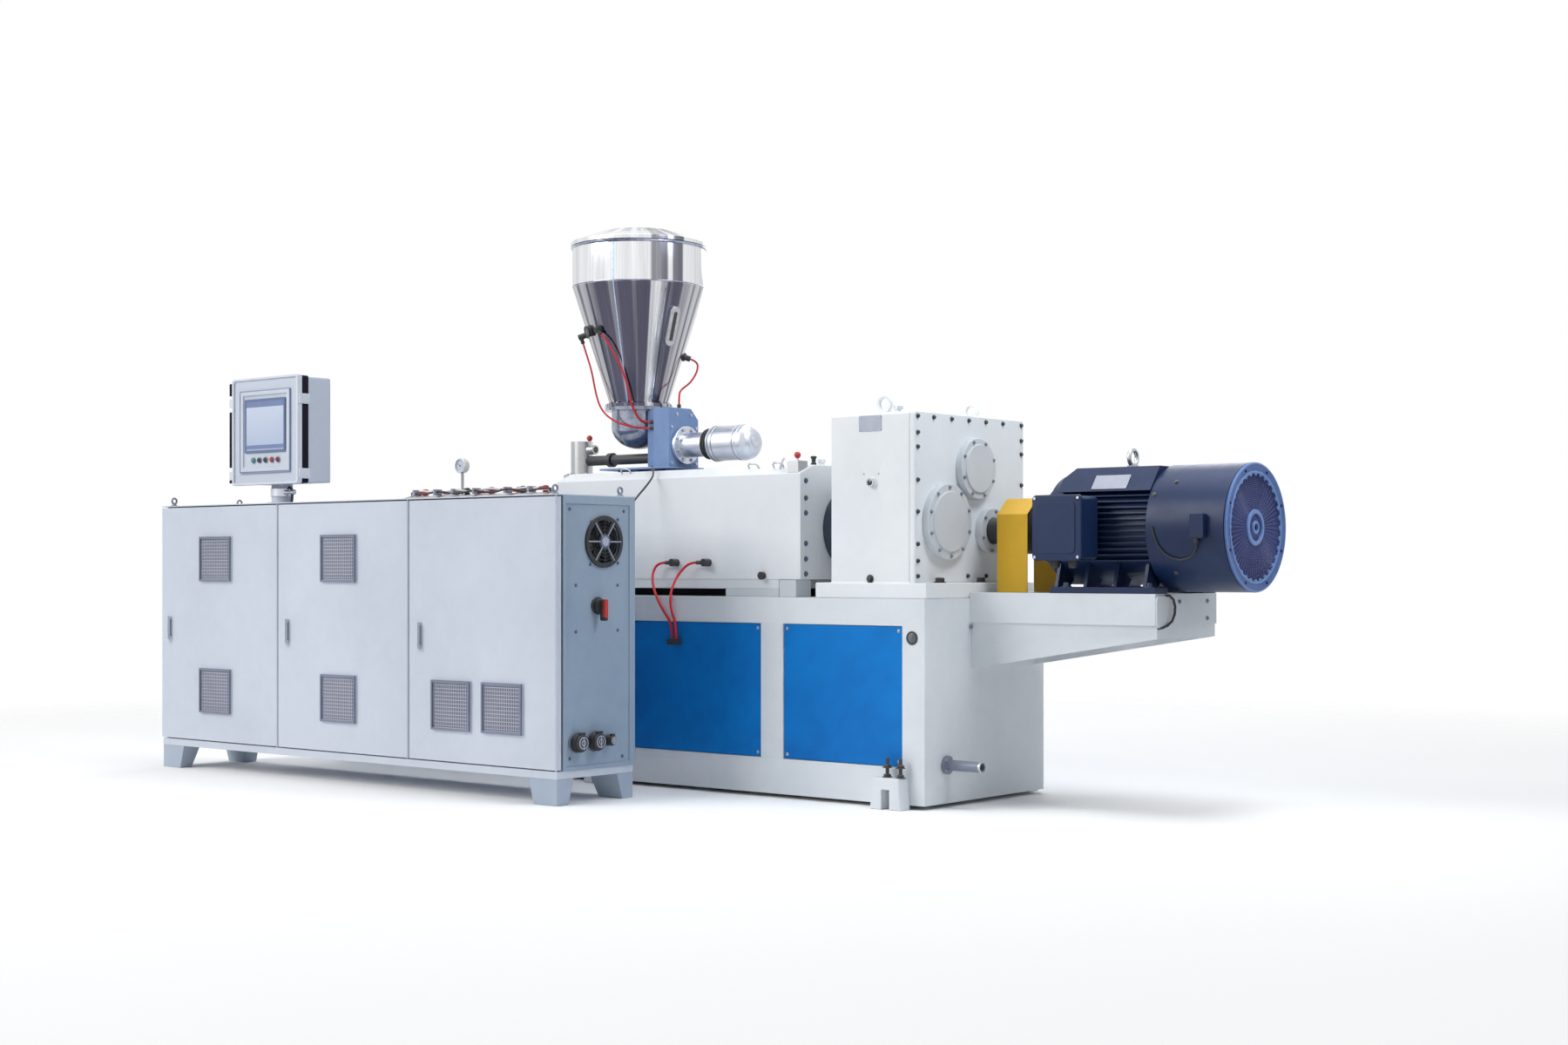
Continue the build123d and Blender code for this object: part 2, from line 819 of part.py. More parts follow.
# Deep cowl around the motor's cooling fan
with BuildPart() as motor_fan_cowl:
    with BuildSketch(Plane.YZ.offset(drive_x + cowl_start)):
        with Locations((motor_y, axis_height)):
            Circle(cowl_radius)
    extrude(amount=cowl_length - cowl_ring_thickness)
    with BuildSketch(Plane.YZ.offset(drive_x + cowl_start + cowl_wall)):
        with Locations((motor_y, axis_height)):
            Circle(cowl_radius - cowl_wall)
    extrude(amount=cowl_length, mode=Mode.SUBTRACT)
save(motor_fan_cowl, "motor_fan_cowl")

# Intake ring and its mesh disc with a small hub ring
with BuildPart() as motor_cowl_grille:
    ring_start = drive_x + cowl_end - cowl_ring_thickness
    with BuildSketch(Plane.YZ.offset(ring_start)):
        with Locations((motor_y, axis_height)):
            Circle(cowl_radius)
            Circle(cowl_radius - cowl_ring_width, mode=Mode.SUBTRACT)
    extrude(amount=cowl_ring_thickness)
    with BuildSketch(Plane.YZ.offset(ring_start - grille_thickness)):
        with Locations((motor_y, axis_height)):
            Circle(cowl_radius - cowl_wall - seat_gap)
    extrude(amount=grille_thickness)
    with BuildSketch(Plane.YZ.offset(ring_start)):
        with Locations((motor_y, axis_height)):
            Circle(grille_hub_radius)
            Circle(grille_hub_hole, mode=Mode.SUBTRACT)
    extrude(amount=grille_hub_rise)
save(motor_cowl_grille, "motor_cowl_grille")

# Lifting eye on the motor's crown
with BuildPart() as motor_lifting_eye:
    lifting_eye(drive_x + motor_foot_start + motor_foot_length / 2, motor_y, axis_height + fin_radius, (1, 0, 0))
save(motor_lifting_eye, "motor_lifting_eye")

# Drive housing in its sheet cover, on a shallow tray
housing_x1 = drive_x - housing_end
housing_x0 = housing_x1 - housing_length
with BuildPart() as drive_housing:
    half = housing_width / 2
    with BuildSketch(Plane.YZ.offset(housing_x0)):
        with BuildLine():
            Polyline(
                (line_y - half, housing_low),
                (line_y - half, housing_top - housing_shoulder_drop),
                (line_y - half + housing_shoulder_width, housing_top),
                (line_y + half - housing_shoulder_width, housing_top),
                (line_y + half, housing_top - housing_shoulder_drop),
                (line_y + half, housing_low),
                close=True,
            )
        make_face()
    extrude(amount=housing_length)
    tray_length = housing_length - tray_shortfall
    with Locations((housing_x0 + tray_length / 2, line_y, middle(tray_low, housing_low))):
        Box(tray_length, housing_width - 2 * tray_inset, housing_low - tray_low)
save(drive_housing, "drive_housing")

# Round flange that joins the drive housing to the gearbox
with BuildPart() as output_flange:
    flange_plane = Plane(origin=(housing_x1, line_y, screw_height), z_dir=(1, 0, 0))
    with BuildSketch(flange_plane):
        Circle(flange_radius)
    extrude(amount=flange_thickness)
    with BuildSketch(flange_plane.offset(flange_thickness)):
        Circle(flange_neck_radius)
    extrude(amount=gearbox_start - housing_x1 - flange_thickness)
save(output_flange, "output_flange")

# Feed block under the drop tube
feed_x1 = housing_x0
feed_x0 = feed_x1 - feed_block_length
with BuildPart() as feed_block:
    with Locations((middle(feed_x0, feed_x1), line_y, middle(feed_block_low, feed_block_top))):
        Box(feed_block_length, feed_block_width, feed_block_top - feed_block_low)
    chamfer(feed_block.edges().filter_by(Axis.X), small_chamfer)
save(feed_block, "feed_block")

# Barrel: collar at the feed block, and the head with its bore at the die end
cover_x1 = feed_x0 - barrel_collar_length
cover_x0 = cover_x1 - barrel_cover_length
with BuildPart() as barrel:
    with BuildSketch(Plane.YZ.offset(feed_x0)):
        with Locations((line_y, screw_height)):
            Circle(barrel_collar_radius)
    extrude(amount=-barrel_collar_length)
    with BuildSketch(Plane.YZ.offset(cover_x0)):
        with Locations((line_y, screw_height)):
            Circle(head_flange_radius)
    extrude(amount=-head_flange_length)
    with BuildSketch(Plane.YZ.offset(cover_x0 - head_flange_length)):
        with Locations((line_y, screw_height)):
            Circle(head_flange_radius * cap_step_share)
    with BuildSketch(Plane.YZ.offset(cover_x0 - head_flange_length - head_cone_length)):
        with Locations((line_y, screw_height)):
            Circle(head_nose_radius)
    loft()
    nose_plane = Plane(origin=(cover_x0 - head_flange_length - head_cone_length, line_y, screw_height), z_dir=(-1, 0, 0))
    with BuildSketch(nose_plane):
        Circle(head_bore_radius)
    extrude(amount=-head_bore_depth, mode=Mode.SUBTRACT)
save(barrel, "barrel")

# Rounded cover over the heated barrel
with BuildPart() as barrel_cover:
    crown_radius = barrel_cover_width / 2
    with BuildSketch(Plane.YZ.offset(cover_x0)):
        with BuildLine():
            left_foot = (line_y - crown_radius, barrel_cover_low)
            right_foot = (line_y + crown_radius, barrel_cover_low)
            left_spring = (line_y - crown_radius, axis_height)
            right_spring = (line_y + crown_radius, axis_height)
            Line(right_foot, left_foot)
            Line(left_foot, left_spring)
            ThreePointArc(left_spring, (line_y, axis_height + crown_radius), right_spring)
            Line(right_spring, right_foot)
        make_face()
    extrude(amount=barrel_cover_length)
save(barrel_cover, "barrel_cover")

# Supports on the base: blocks under the housing, stand under the feed block and the barrel
with BuildPart() as machine_supports:
    block_y = housing_width / 2 - tray_inset - support_block_width / 2
    tray_end = housing_x1 - tray_shortfall
    block_x = housing_x1 - support_block_setback - support_block_length / 2
    for side in (-1, 1):
        with Locations((block_x, line_y + side * block_y, middle(base_top, housing_low))):
            Box(support_block_length, support_block_width, housing_low - base_top)
        for start, length in (
            (housing_x0, support_block_length),
            (tray_end - support_pad_length, support_pad_length),
        ):
            with Locations((start + length / 2, line_y + side * block_y, middle(base_top, tray_low))):
                Box(length, support_block_width, tray_low - base_top)
    for centre, top in (
        (middle(feed_x0, feed_x1), feed_block_low),
        (cover_x0 + pedestal_length, barrel_cover_low),
    ):
        with Locations((centre, line_y, middle(base_top, top))):
            Box(pedestal_plate, pedestal_width, top - base_top)
        for level in (base_top + pedestal_plate / 2, top - pedestal_plate / 2):
            with Locations((centre, line_y, level)):
                Box(pedestal_length, pedestal_width, pedestal_plate)
save(machine_supports, "machine_supports")

# Melt pressure gauge on its stem above the barrel cover
gauge_x = drive_x - gauge_place
with BuildPart() as melt_gauge:
    stem_low = axis_height + barrel_cover_width / 2
    with Locations((gauge_x, line_y, stem_low)):
        Cylinder(gauge_stem_radius, gauge_height - stem_low, align=(Align.CENTER, Align.CENTER, Align.MIN))
    with Locations(Plane(origin=(gauge_x, line_y, gauge_height), z_dir=(0, -1, 0))):
        Cylinder(gauge_radius, gauge_depth)
save(melt_gauge, "melt_gauge")

# Drop tube: steel cylinder with a flange, a side port and a knob on top
drop_x = feed_x1 - drop_inset
with BuildPart() as drop_tube:
    with Locations((drop_x, line_y, drop_low)):
        Cylinder(drop_radius, drop_top - drop_low, align=(Align.CENTER, Align.CENTER, Align.MIN))
        Cylinder(drop_flange_radius, drop_flange_thickness, align=(Align.CENTER, Align.CENTER, Align.MAX))
    with BuildSketch(Plane(origin=(drop_x, line_y, drop_port_height), z_dir=(1, 0, 0))):
        Circle(drop_port_radius)
    extrude(amount=drop_radius + drop_port_length)
    drop_knob_x = drop_x + drop_knob_aside[0]
    drop_knob_y = line_y + drop_knob_aside[-1]
    with Locations((drop_knob_x, drop_knob_y, drop_top)):
        Cylinder(knob_stem_radius, drop_knob_rise, align=(Align.CENTER, Align.CENTER, Align.MIN))
    with Locations((drop_knob_x, drop_knob_y, drop_top + drop_knob_rise)):
        Sphere(knob_radius)
save(drop_tube, "drop_tube")

# Sight glass between the drop tube and the feed block
with BuildPart() as drop_sight_glass:
    glass_top = drop_low - drop_flange_thickness
    with BuildSketch(Plane.XY.offset(feed_block_top)):
        with Locations((drop_x, line_y)):
            Circle(glass_radius)
            Circle(glass_radius - glass_wall, mode=Mode.SUBTRACT)
    extrude(amount=glass_top - feed_block_top)
save(drop_sight_glass, "drop_sight_glass")

# Feeder tube from the gear housing to the drop tube, with a clamp on the way
gear_x0 = feed_x1 + gear_housing_inset
gear_x1 = gear_x0 + gear_housing_length
with BuildPart() as feeder_tube:
    tube_start = drop_x + drop_radius - feed_tube_radius / 2
    tube_plane = Plane(origin=(tube_start, line_y, feed_tube_height), z_dir=(1, 0, 0))
    with BuildSketch(tube_plane):
        Circle(feed_tube_radius)
    extrude(amount=gear_x0 - mount_plate_thickness - tube_start)
    clamp_plane = Plane(origin=(feed_x1 + tube_clamp_inset, line_y, feed_tube_height), z_dir=(1, 0, 0))
    with BuildSketch(clamp_plane):
        Circle(tube_clamp_radius)
    extrude(amount=tube_clamp_length)
    with BuildSketch(Plane.XY.offset(drop_low)):
        with Locations((drop_x, line_y)):
            Circle(drop_radius)
    extrude(amount=drop_top - drop_low, mode=Mode.SUBTRACT)
save(feeder_tube, "feeder_tube")

# Round-bottomed feeder bowl under the hopper
hopper_x = feed_x1 + hopper_inset
bowl_top = hopper_cone_low - hopper_flange_thickness
with BuildPart() as feeder_bowl:
    with BuildSketch(Plane.XZ) as bowl_section:
        with BuildLine():
            Polyline(
                (0, bowl_low),
                (0, bowl_top),
                (hopper_flange_radius, bowl_top),
                (hopper_flange_radius, bowl_top - bowl_flange_thickness),
                (bowl_radius, bowl_top - bowl_flange_thickness),
                (bowl_radius, bowl_low + bowl_round),
            )
            EllipticalCenterArc(
                (0, bowl_low + bowl_round),
                bowl_radius,
                bowl_round,
                start_angle=three_quarter_turn,
                arc_size=right_angle,
            )
        make_face()
    revolve(axis=Axis.Z)
feeder_bowl.part = feeder_bowl.part.moved(Location((hopper_x, line_y, 0)))
save(feeder_bowl, "feeder_bowl")

# Gear housing of the feeder, with the plate that the bowl bolts to
with BuildPart() as feeder_gear_housing:
    with BuildSketch(Plane.YZ.offset(gear_x0)):
        half = gear_housing_width / 2
        with BuildLine():
            Polyline(
                (line_y - half, feeder_plate_top),
                (line_y - half, gear_housing_top),
                (line_y + half - gear_housing_chamfer, gear_housing_top),
                (line_y + half, gear_housing_top - gear_housing_chamfer),
                (line_y + half, feeder_plate_top),
                close=True,
            )
        make_face()
    extrude(amount=gear_housing_length)
    plate_height = gear_housing_top - feeder_plate_top
    with BuildSketch(Plane.YZ.offset(gear_x0)):
        with Locations((line_y, middle(feeder_plate_top, gear_housing_top))):
            Rectangle(mount_plate_width, plate_height - 2 * small_chamfer)
    extrude(amount=-mount_plate_thickness)
    with BuildSketch(Plane.XY.offset(feeder_plate_top)):
        with Locations((hopper_x, line_y)):
            Circle(bowl_radius + seat_gap)
    extrude(amount=gear_housing_top, mode=Mode.SUBTRACT)
save(feeder_gear_housing, "feeder_gear_housing")

# Gearmotor of the feeder: flange, reducer, ring and motor with a rounded end
with BuildPart() as feeder_motor:
    lengths = (motor_flange_length, reducer_length, motor_ring_length, feeder_motor_length)
    radii = (motor_flange_radius, reducer_radius, motor_ring_radius, feeder_motor_radius)
    start = gear_x1
    for length, radius in zip(lengths, radii):
        with BuildSketch(Plane(origin=(start, line_y, feeder_motor_height), z_dir=(1, 0, 0))):
            Circle(radius)
        extrude(amount=length)
        start = start + length
    fillet(feeder_motor.edges().sort_by(Axis.X)[-1], feeder_motor_round)
save(feeder_motor, "feeder_motor")

# Plate under the feeder, on two feet that stand on the drive housing
with BuildPart() as feeder_plate:
    plate_x0 = feed_x1 + feeder_plate_inset
    plate_x1 = plate_x0 + feeder_plate_length
    with Locations((middle(plate_x0, plate_x1), line_y, feeder_plate_top)):
        Box(
            plate_x1 - plate_x0,
            feeder_plate_width,
            feeder_plate_thickness,
            align=(Align.CENTER, Align.CENTER, Align.MAX),
        )
    foot_top = feeder_plate_top - feeder_plate_thickness
    for centre in (plate_x1 - feeder_foot_length, plate_x0 + feeder_foot_length):
        with Locations((centre, line_y, middle(housing_top, foot_top))):
            Box(feeder_foot_length, feeder_plate_width / 2, foot_top - housing_top)
save(feeder_plate, "feeder_plate")

# Hopper: polished cylinder on a long cone, open at the top and at the outlet
with BuildPart() as hopper_shell:
    with BuildSketch(Plane.XZ) as hopper_section:
        flange_low = hopper_cone_low - hopper_flange_thickness
        with BuildLine():
            Polyline(
                (hopper_outlet_radius, flange_low),
                (hopper_flange_radius, flange_low),
                (hopper_flange_radius, hopper_cone_low),
                (hopper_outlet_radius + hopper_wall, hopper_cone_low),
                (hopper_radius, hopper_cone_top),
                (hopper_radius, hopper_rim_height),
                (hopper_radius - hopper_wall, hopper_rim_height),
                (hopper_radius - hopper_wall, hopper_cone_top),
                (hopper_outlet_radius, hopper_cone_low),
                close=True,
            )
        make_face()
    revolve(axis=Axis.Z)
hopper_shell.part = hopper_shell.part.moved(Location((hopper_x, line_y, 0)))
save(hopper_shell, "hopper_shell")

# Shallow crowned lid on the hopper's rim
with BuildPart() as hopper_lid:
    with BuildSketch(Plane.XZ) as lid_section:
        lid_radius = hopper_radius + rim_bead
        crown_radius = lid_radius * lid_crown_share
        with BuildLine():
            Polyline(
                (0, hopper_rim_height),
                (lid_radius, hopper_rim_height),
                (lid_radius, hopper_rim_height + lid_lip),
                (crown_radius, hopper_rim_height + lid_rise),
                (0, hopper_rim_height + lid_rise),
                close=True,
            )
        make_face()
    revolve(axis=Axis.Z)
hopper_lid.part = hopper_lid.part.moved(Location((hopper_x, line_y, 0)))
save(hopper_lid, "hopper_lid")

cone_lean = degrees(
    atan2(hopper_radius - hopper_outlet_radius - hopper_wall, hopper_cone_top - hopper_cone_low)
)


def cone_radius_at(height):
    share = (height - hopper_cone_low) / (hopper_cone_top - hopper_cone_low)
    low_radius = hopper_outlet_radius + hopper_wall
    return low_radius + (hopper_radius - low_radius) * share


def cone_plane(azimuth, height):
    """Plane that touches the cone at an azimuth and a height, facing outwards."""
    turn = radians(azimuth)
    out = Vector(cos(turn), sin(turn), -tan(radians(cone_lean)))
    radius = cone_radius_at(height)
    origin = Vector(hopper_x + radius * cos(turn), line_y + radius * sin(turn), height)
    return Plane(origin=origin, x_dir=(-sin(turn), cos(turn), 0), z_dir=out)


# Slot-shaped window frame on the cone
with BuildPart() as hopper_window:
    window_height = hopper_cone_low + window_rise
    window_plane = cone_plane(window_azimuth, window_height)
    with BuildSketch(window_plane.offset(-window_thickness)):
        SlotOverall(window_length, window_width, rotation=90)
    extrude(amount=2 * window_thickness)
    with BuildPart(mode=Mode.PRIVATE) as cone_core:
        with BuildSketch(Plane.XZ) as core_section:
            with BuildLine():
                Polyline(
                    (0, hopper_cone_low),
                    (hopper_outlet_radius + hopper_wall, hopper_cone_low),
                    (hopper_radius, hopper_cone_top),
                    (0, hopper_cone_top),
                    close=True,
                )
            make_face()
        revolve(axis=Axis.Z)
    add(cone_core.part.moved(Location((hopper_x, line_y, 0))), mode=Mode.SUBTRACT)
save(hopper_window, "hopper_window")

# Level sensors with lock nuts and angled plugs, square to the cone, and a round sight
left_sensor_plane = cone_plane(left_sensor_azimuth, hopper_cone_low + sensor_rise)
middle_sensor_plane = cone_plane(middle_sensor_azimuth, hopper_cone_low + sensor_rise)
side_sensor_plane = cone_plane(side_sensor_azimuth, hopper_cone_low + side_sensor_rise)
sight_plane = cone_plane(sight_azimuth, hopper_cone_low + sensor_rise)
left_plug_start = left_sensor_plane.origin + left_sensor_plane.z_dir * elbow_place
left_plug_way = left_sensor_plane.y_dir * -1
middle_plug_start = middle_sensor_plane.origin + middle_sensor_plane.z_dir * middle_elbow_place
middle_plug_way = (middle_sensor_plane.x_dir - middle_sensor_plane.y_dir).normalized()
with BuildPart() as level_sensors:
    for sensor_plane, length in (
        (left_sensor_plane, sensor_length),
        (middle_sensor_plane, middle_sensor_length),
        (side_sensor_plane, side_sensor_length),
    ):
        with BuildSketch(sensor_plane.offset(seat_gap)):
            Circle(sensor_nut_radius)
        extrude(amount=sensor_nut_length)
        with BuildSketch(sensor_plane.offset(seat_gap)):
            Circle(sensor_radius)
        extrude(amount=length - seat_gap)
    for start, way, length in (
        (left_plug_start, left_plug_way, elbow_length),
        (middle_plug_start, middle_plug_way, middle_elbow_length),
    ):
        with BuildSketch(Plane(origin=start, z_dir=way)):
            Circle(elbow_radius)
        extrude(amount=length)
    with BuildSketch(sight_plane.offset(seat_gap)):
        Circle(hopper_sight_radius)
    extrude(amount=hopper_sight_length)
save(level_sensors, "level_sensors")

# Vent valve with its knob, cut to sit on the shoulder of the drive housing
with BuildPart() as valve_block:
    valve_x = drive_x - valve_place
    valve_y = line_y - housing_width / 2 + valve_inset
    valve_low = housing_top - valve_drop
    valve_top = valve_low + valve_height
    with Locations((valve_x, valve_y, valve_low)):
        Box(valve_length, valve_width, valve_height, align=(Align.CENTER, Align.CENTER, Align.MIN))
    add(drive_housing.part, mode=Mode.SUBTRACT)
    with Locations((valve_x, valve_y, valve_top)):
        Cylinder(knob_stem_radius, knob_rise, align=(Align.CENTER, Align.CENTER, Align.MIN))
    with Locations((valve_x, valve_y, valve_top + knob_rise)):
        Sphere(knob_radius)
save(valve_block, "valve_block")

# Hose fittings on the housing, a plain plug beside them, and the gland on the panel
housing_front = line_y - housing_width / 2
panel_face = base_front + pocket_depth - panel_thickness
gland_x = drive_x - gland_place
gland_y = panel_face - gland_depth / 2
nozzle_y = housing_front - fitting_length + fitting_nozzle_radius
with BuildPart() as hose_fittings:
    for place, reach in (
        (left_fitting_place, left_nozzle_length),
        (right_fitting_place, right_nozzle_length),
    ):
        with BuildSketch(Plane(origin=(drive_x - place, housing_front, fitting_height), z_dir=(0, -1, 0))):
            Circle(fitting_radius)
        extrude(amount=fitting_length)
        with BuildSketch(Plane(origin=(drive_x - place, nozzle_y, fitting_height), z_dir=(-1, 0, 0))):
            Circle(fitting_nozzle_radius)
        extrude(amount=fitting_radius + reach)
    with BuildSketch(Plane(origin=(drive_x - plug_place, housing_front, plug_height), z_dir=(0, -1, 0))):
        Circle(fitting_radius)
    extrude(amount=fitting_radius)
    with Locations((gland_x, gland_y, gland_level)):
        Box(gland_width, gland_depth, gland_height, align=(Align.CENTER, Align.CENTER, Align.MAX))
save(hose_fittings, "hose_fittings")

# Cabinet: shell with three bays between a roof and a plinth, with the pins of the door
# hinges under the roof and on the plinth
cabinet_x1 = drive_x - cabinet_gap
cabinet_x0 = cabinet_x1 - cabinet_length
cabinet_rear = base_front - cabinet_clear
cabinet_front = cabinet_rear - cabinet_depth
shell_front = cabinet_front + door_thickness + door_standoff
shell_depth = cabinet_rear - shell_front
shell_low = cabinet_low + plinth_height
roof_low = cabinet_top - roof_thickness
shell_height = roof_low - shell_low
shell_level = middle(shell_low, roof_low)
shell_x1 = cabinet_x1 - end_panel_thickness
door_low = shell_low + door_end_gap
door_high = roof_low - door_end_gap
hinge_y = cabinet_front + hinge_inset
with BuildPart() as cabinet_shell:
    with Locations((middle(cabinet_x0, shell_x1), middle(shell_front, cabinet_rear), shell_level)):
        Box(shell_x1 - cabinet_x0, shell_depth, shell_height)
    inner_x0 = cabinet_x0 + cabinet_wall
    inner_y1 = cabinet_rear - cabinet_wall
    with Locations((middle(inner_x0, shell_x1), middle(shell_front, inner_y1), shell_level)):
        Box(shell_x1 - inner_x0, inner_y1 - shell_front, shell_height, mode=Mode.SUBTRACT)
    with Locations((middle(cabinet_x0, cabinet_x1), middle(cabinet_front, cabinet_rear), roof_low)):
        Box(cabinet_length, cabinet_depth, roof_thickness, align=(Align.CENTER, Align.CENTER, Align.MIN))
    with Locations((middle(cabinet_x0, cabinet_x1), middle(cabinet_front, cabinet_rear), cabinet_low)):
        Box(
            cabinet_length - 2 * plinth_inset,
            cabinet_depth - 2 * plinth_inset,
            plinth_height,
            align=(Align.CENTER, Align.CENTER, Align.MIN),
        )
    for index in range(bay_count + 1):
        seam_x = cabinet_x0 + index * bay_width
        post_x = min(max(seam_x, cabinet_x0 + post_width / 2), shell_x1 - post_width / 2)
        with Locations((post_x, shell_front + post_depth / 2, shell_level)):
            Box(post_width, post_depth, shell_height)
    for level in (shell_low + roof_lip / 2, roof_low - roof_lip / 2):
        with Locations((middle(cabinet_x0, shell_x1), shell_front + cabinet_wall / 2, level)):
            Box(shell_x1 - cabinet_x0, cabinet_wall, roof_lip)
    plate_height = shell_height - 2 * mounting_plate_margin
    for index in range(bay_count):
        plate_x = middle(cabinet_x0, shell_x1) + (index - (bay_count - 1) / 2) * bay_width
        plate_y = inner_y1 - mounting_plate_stand
        with Locations((plate_x, plate_y - mounting_plate_thickness / 2, shell_level)):
            Box(bay_width - 2 * mounting_plate_margin, mounting_plate_thickness, plate_height)
        for level in (shell_level - plate_height / 4, shell_level + plate_height / 4):
            with Locations((plate_x, plate_y + mounting_plate_stand / 2, level)):
                Box(post_width, mounting_plate_stand, post_width)
    pin_length = door_end_gap + hinge_ear - small_chamfer
    for index in range(bay_count):
        hinge_x = cabinet_x0 + (index + 1) * bay_width - door_gap / 2 - hinge_inset
        for level, grip in ((shell_low, Align.MIN), (roof_low, Align.MAX)):
            with Locations((hinge_x, hinge_y, level)):
                Cylinder(hinge_pin_radius, pin_length, align=(Align.CENTER, Align.CENTER, grip))
save(cabinet_shell, "cabinet_shell")

# Near end of the cabinet: framed panel with a round hole for the fan
end_mid_y = middle(cabinet_front, cabinet_rear)
fan_y = end_mid_y + fan_offset
with BuildPart() as cabinet_end_panel:
    end_plane = Plane(origin=(shell_x1, 0, 0), x_dir=(0, 1, 0), z_dir=(1, 0, 0))
    with BuildSketch(end_plane):
        with Locations((middle(shell_front, cabinet_rear), shell_level)):
            Rectangle(shell_depth, shell_height)
    extrude(amount=end_panel_thickness)
    recess_y0 = shell_front + end_frame_narrow
    recess_y1 = cabinet_rear - end_frame_width
    recess_z0 = shell_low + end_frame_narrow
    recess_z1 = roof_low - end_frame_width
    with BuildSketch(end_plane.offset(end_panel_thickness)):
        with Locations((middle(recess_y0, recess_y1), middle(recess_z0, recess_z1))):
            Rectangle(recess_y1 - recess_y0, recess_z1 - recess_z0)
    extrude(amount=-end_recess, mode=Mode.SUBTRACT)
    with BuildSketch(end_plane):
        with Locations((fan_y, fan_level)):
            Circle(fan_radius - fan_ring)
    extrude(amount=end_panel_thickness, mode=Mode.SUBTRACT)
save(cabinet_end_panel, "cabinet_end_panel")

# Tapered sheet feet at the cabinet's corners
with BuildPart() as cabinet_feet:
    for side_x, corner_x in ((1, cabinet_x0), (-1, cabinet_x1)):
        for side_y, corner_y in ((1, cabinet_front + plinth_inset), (-1, cabinet_rear - plinth_inset)):
            inset_x = corner_x + side_x * plinth_inset
            for level, taper in ((0, cabinet_foot_taper), (cabinet_low, 0)):
                with BuildSketch(Plane.XY.offset(level)):
                    width = cabinet_foot_width - taper
                    depth = cabinet_foot_depth - taper
                    with Locations((inset_x + side_x * width / 2, corner_y + side_y * depth / 2)):
                        Rectangle(width, depth)
            loft()
save(cabinet_feet, "cabinet_feet")


def door_name(index):
    return "door_" + str(index + 1)


# Doors: folded pans with pressed vents and a latch, hinged on pins at their right edges.
# The right edge is rounded about its pin, so that it turns inside its own gap.
door_height = door_high - door_low
pan_width = bay_width - door_gap
vent_sets = (
    ((vent_inset, vent_low_level), (vent_inset, vent_high_level)),
    ((vent_inset, vent_low_level), (vent_inset, vent_high_level)),
    ((vent_pair_inset, vent_low_level), (vent_pair_inset + vent_pair_pitch, vent_low_level)),
)
for index in range(bay_count):
    door_x0 = cabinet_x0 + index * bay_width + door_gap / 2
    door_x1 = door_x0 + pan_width
    hinge_x = door_x1 - hinge_inset
    door_mid = (middle(door_x0, door_x1), cabinet_front, middle(door_low, door_high))
    with BuildPart() as door:
        with Locations(door_mid):
            Box(pan_width, door_thickness, door_height, align=(Align.CENTER, Align.MIN, Align.CENTER))
        upright_edges = door.edges().filter_by(Axis.Z).group_by(Axis.Y)[0].sort_by(Axis.X)
        fillet(upright_edges[0], door_edge_round)
        upright_edges = door.edges().filter_by(Axis.Z).group_by(Axis.Y)[0].sort_by(Axis.X)
        fillet(upright_edges[-1], hinge_inset - hinge_fit)
        with Locations((door_mid[0], cabinet_front + door_skin, door_mid[2])):
            Box(
                pan_width - 2 * door_skin,
                door_thickness,
                door_height - 2 * door_skin,
                align=(Align.CENTER, Align.MIN, Align.CENTER),
                mode=Mode.SUBTRACT,
            )
        for level, grip in ((door_low, Align.MIN), (door_high, Align.MAX)):
            with BuildSketch(Plane.XY.offset(level)):
                with BuildLine():
                    ear_x0 = door_x1 - hinge_ear
                    ear_y1 = cabinet_front + door_thickness
                    Line((ear_x0, cabinet_front), (hinge_x, cabinet_front))
                    CenterArc((hinge_x, hinge_y), hinge_inset, -right_angle, right_angle)
                    Polyline((door_x1, hinge_y), (door_x1, ear_y1), (ear_x0, ear_y1), (ear_x0, cabinet_front))
                make_face()
            extrude(amount=hinge_ear if grip == Align.MIN else -hinge_ear)
            with Locations((hinge_x, hinge_y, level)):
                Cylinder(hinge_pin_radius + hinge_fit, 2 * hinge_ear + cut_over, mode=Mode.SUBTRACT)
        for inset, level in vent_sets[index]:
            vent_x = door_x0 + inset
            with BuildSketch(Plane.XZ.offset(-cabinet_front)):
                with Locations((vent_x, level)):
                    Rectangle(vent_width, vent_height)
                    Rectangle(vent_width - 2 * vent_rim, vent_height - 2 * vent_rim, mode=Mode.SUBTRACT)
            extrude(amount=vent_rise)
            slat_span = vent_height - 2 * vent_rim
            slat_pitch = slat_span / vent_slat_count
            for slat in range(vent_slat_count):
                slat_level = level - slat_span / 2 + (slat + 1 / 2) * slat_pitch
                with Locations((vent_x, cabinet_front - vent_rise / 4, slat_level)):
                    Box(vent_width - 2 * vent_rim, vent_rise / 2, vent_slat)
        latch_x = door_x0 + latch_inset
        with Locations((latch_x, cabinet_front, latch_level)):
            Box(latch_width, latch_stand, latch_height, align=(Align.CENTER, Align.MAX, Align.CENTER))
            Box(
                latch_width,
                latch_stand - latch_grip,
                latch_height - 2 * latch_grip,
                align=(Align.CENTER, Align.MAX, Align.CENTER),
                mode=Mode.SUBTRACT,
            )
    save(door, door_name(index))

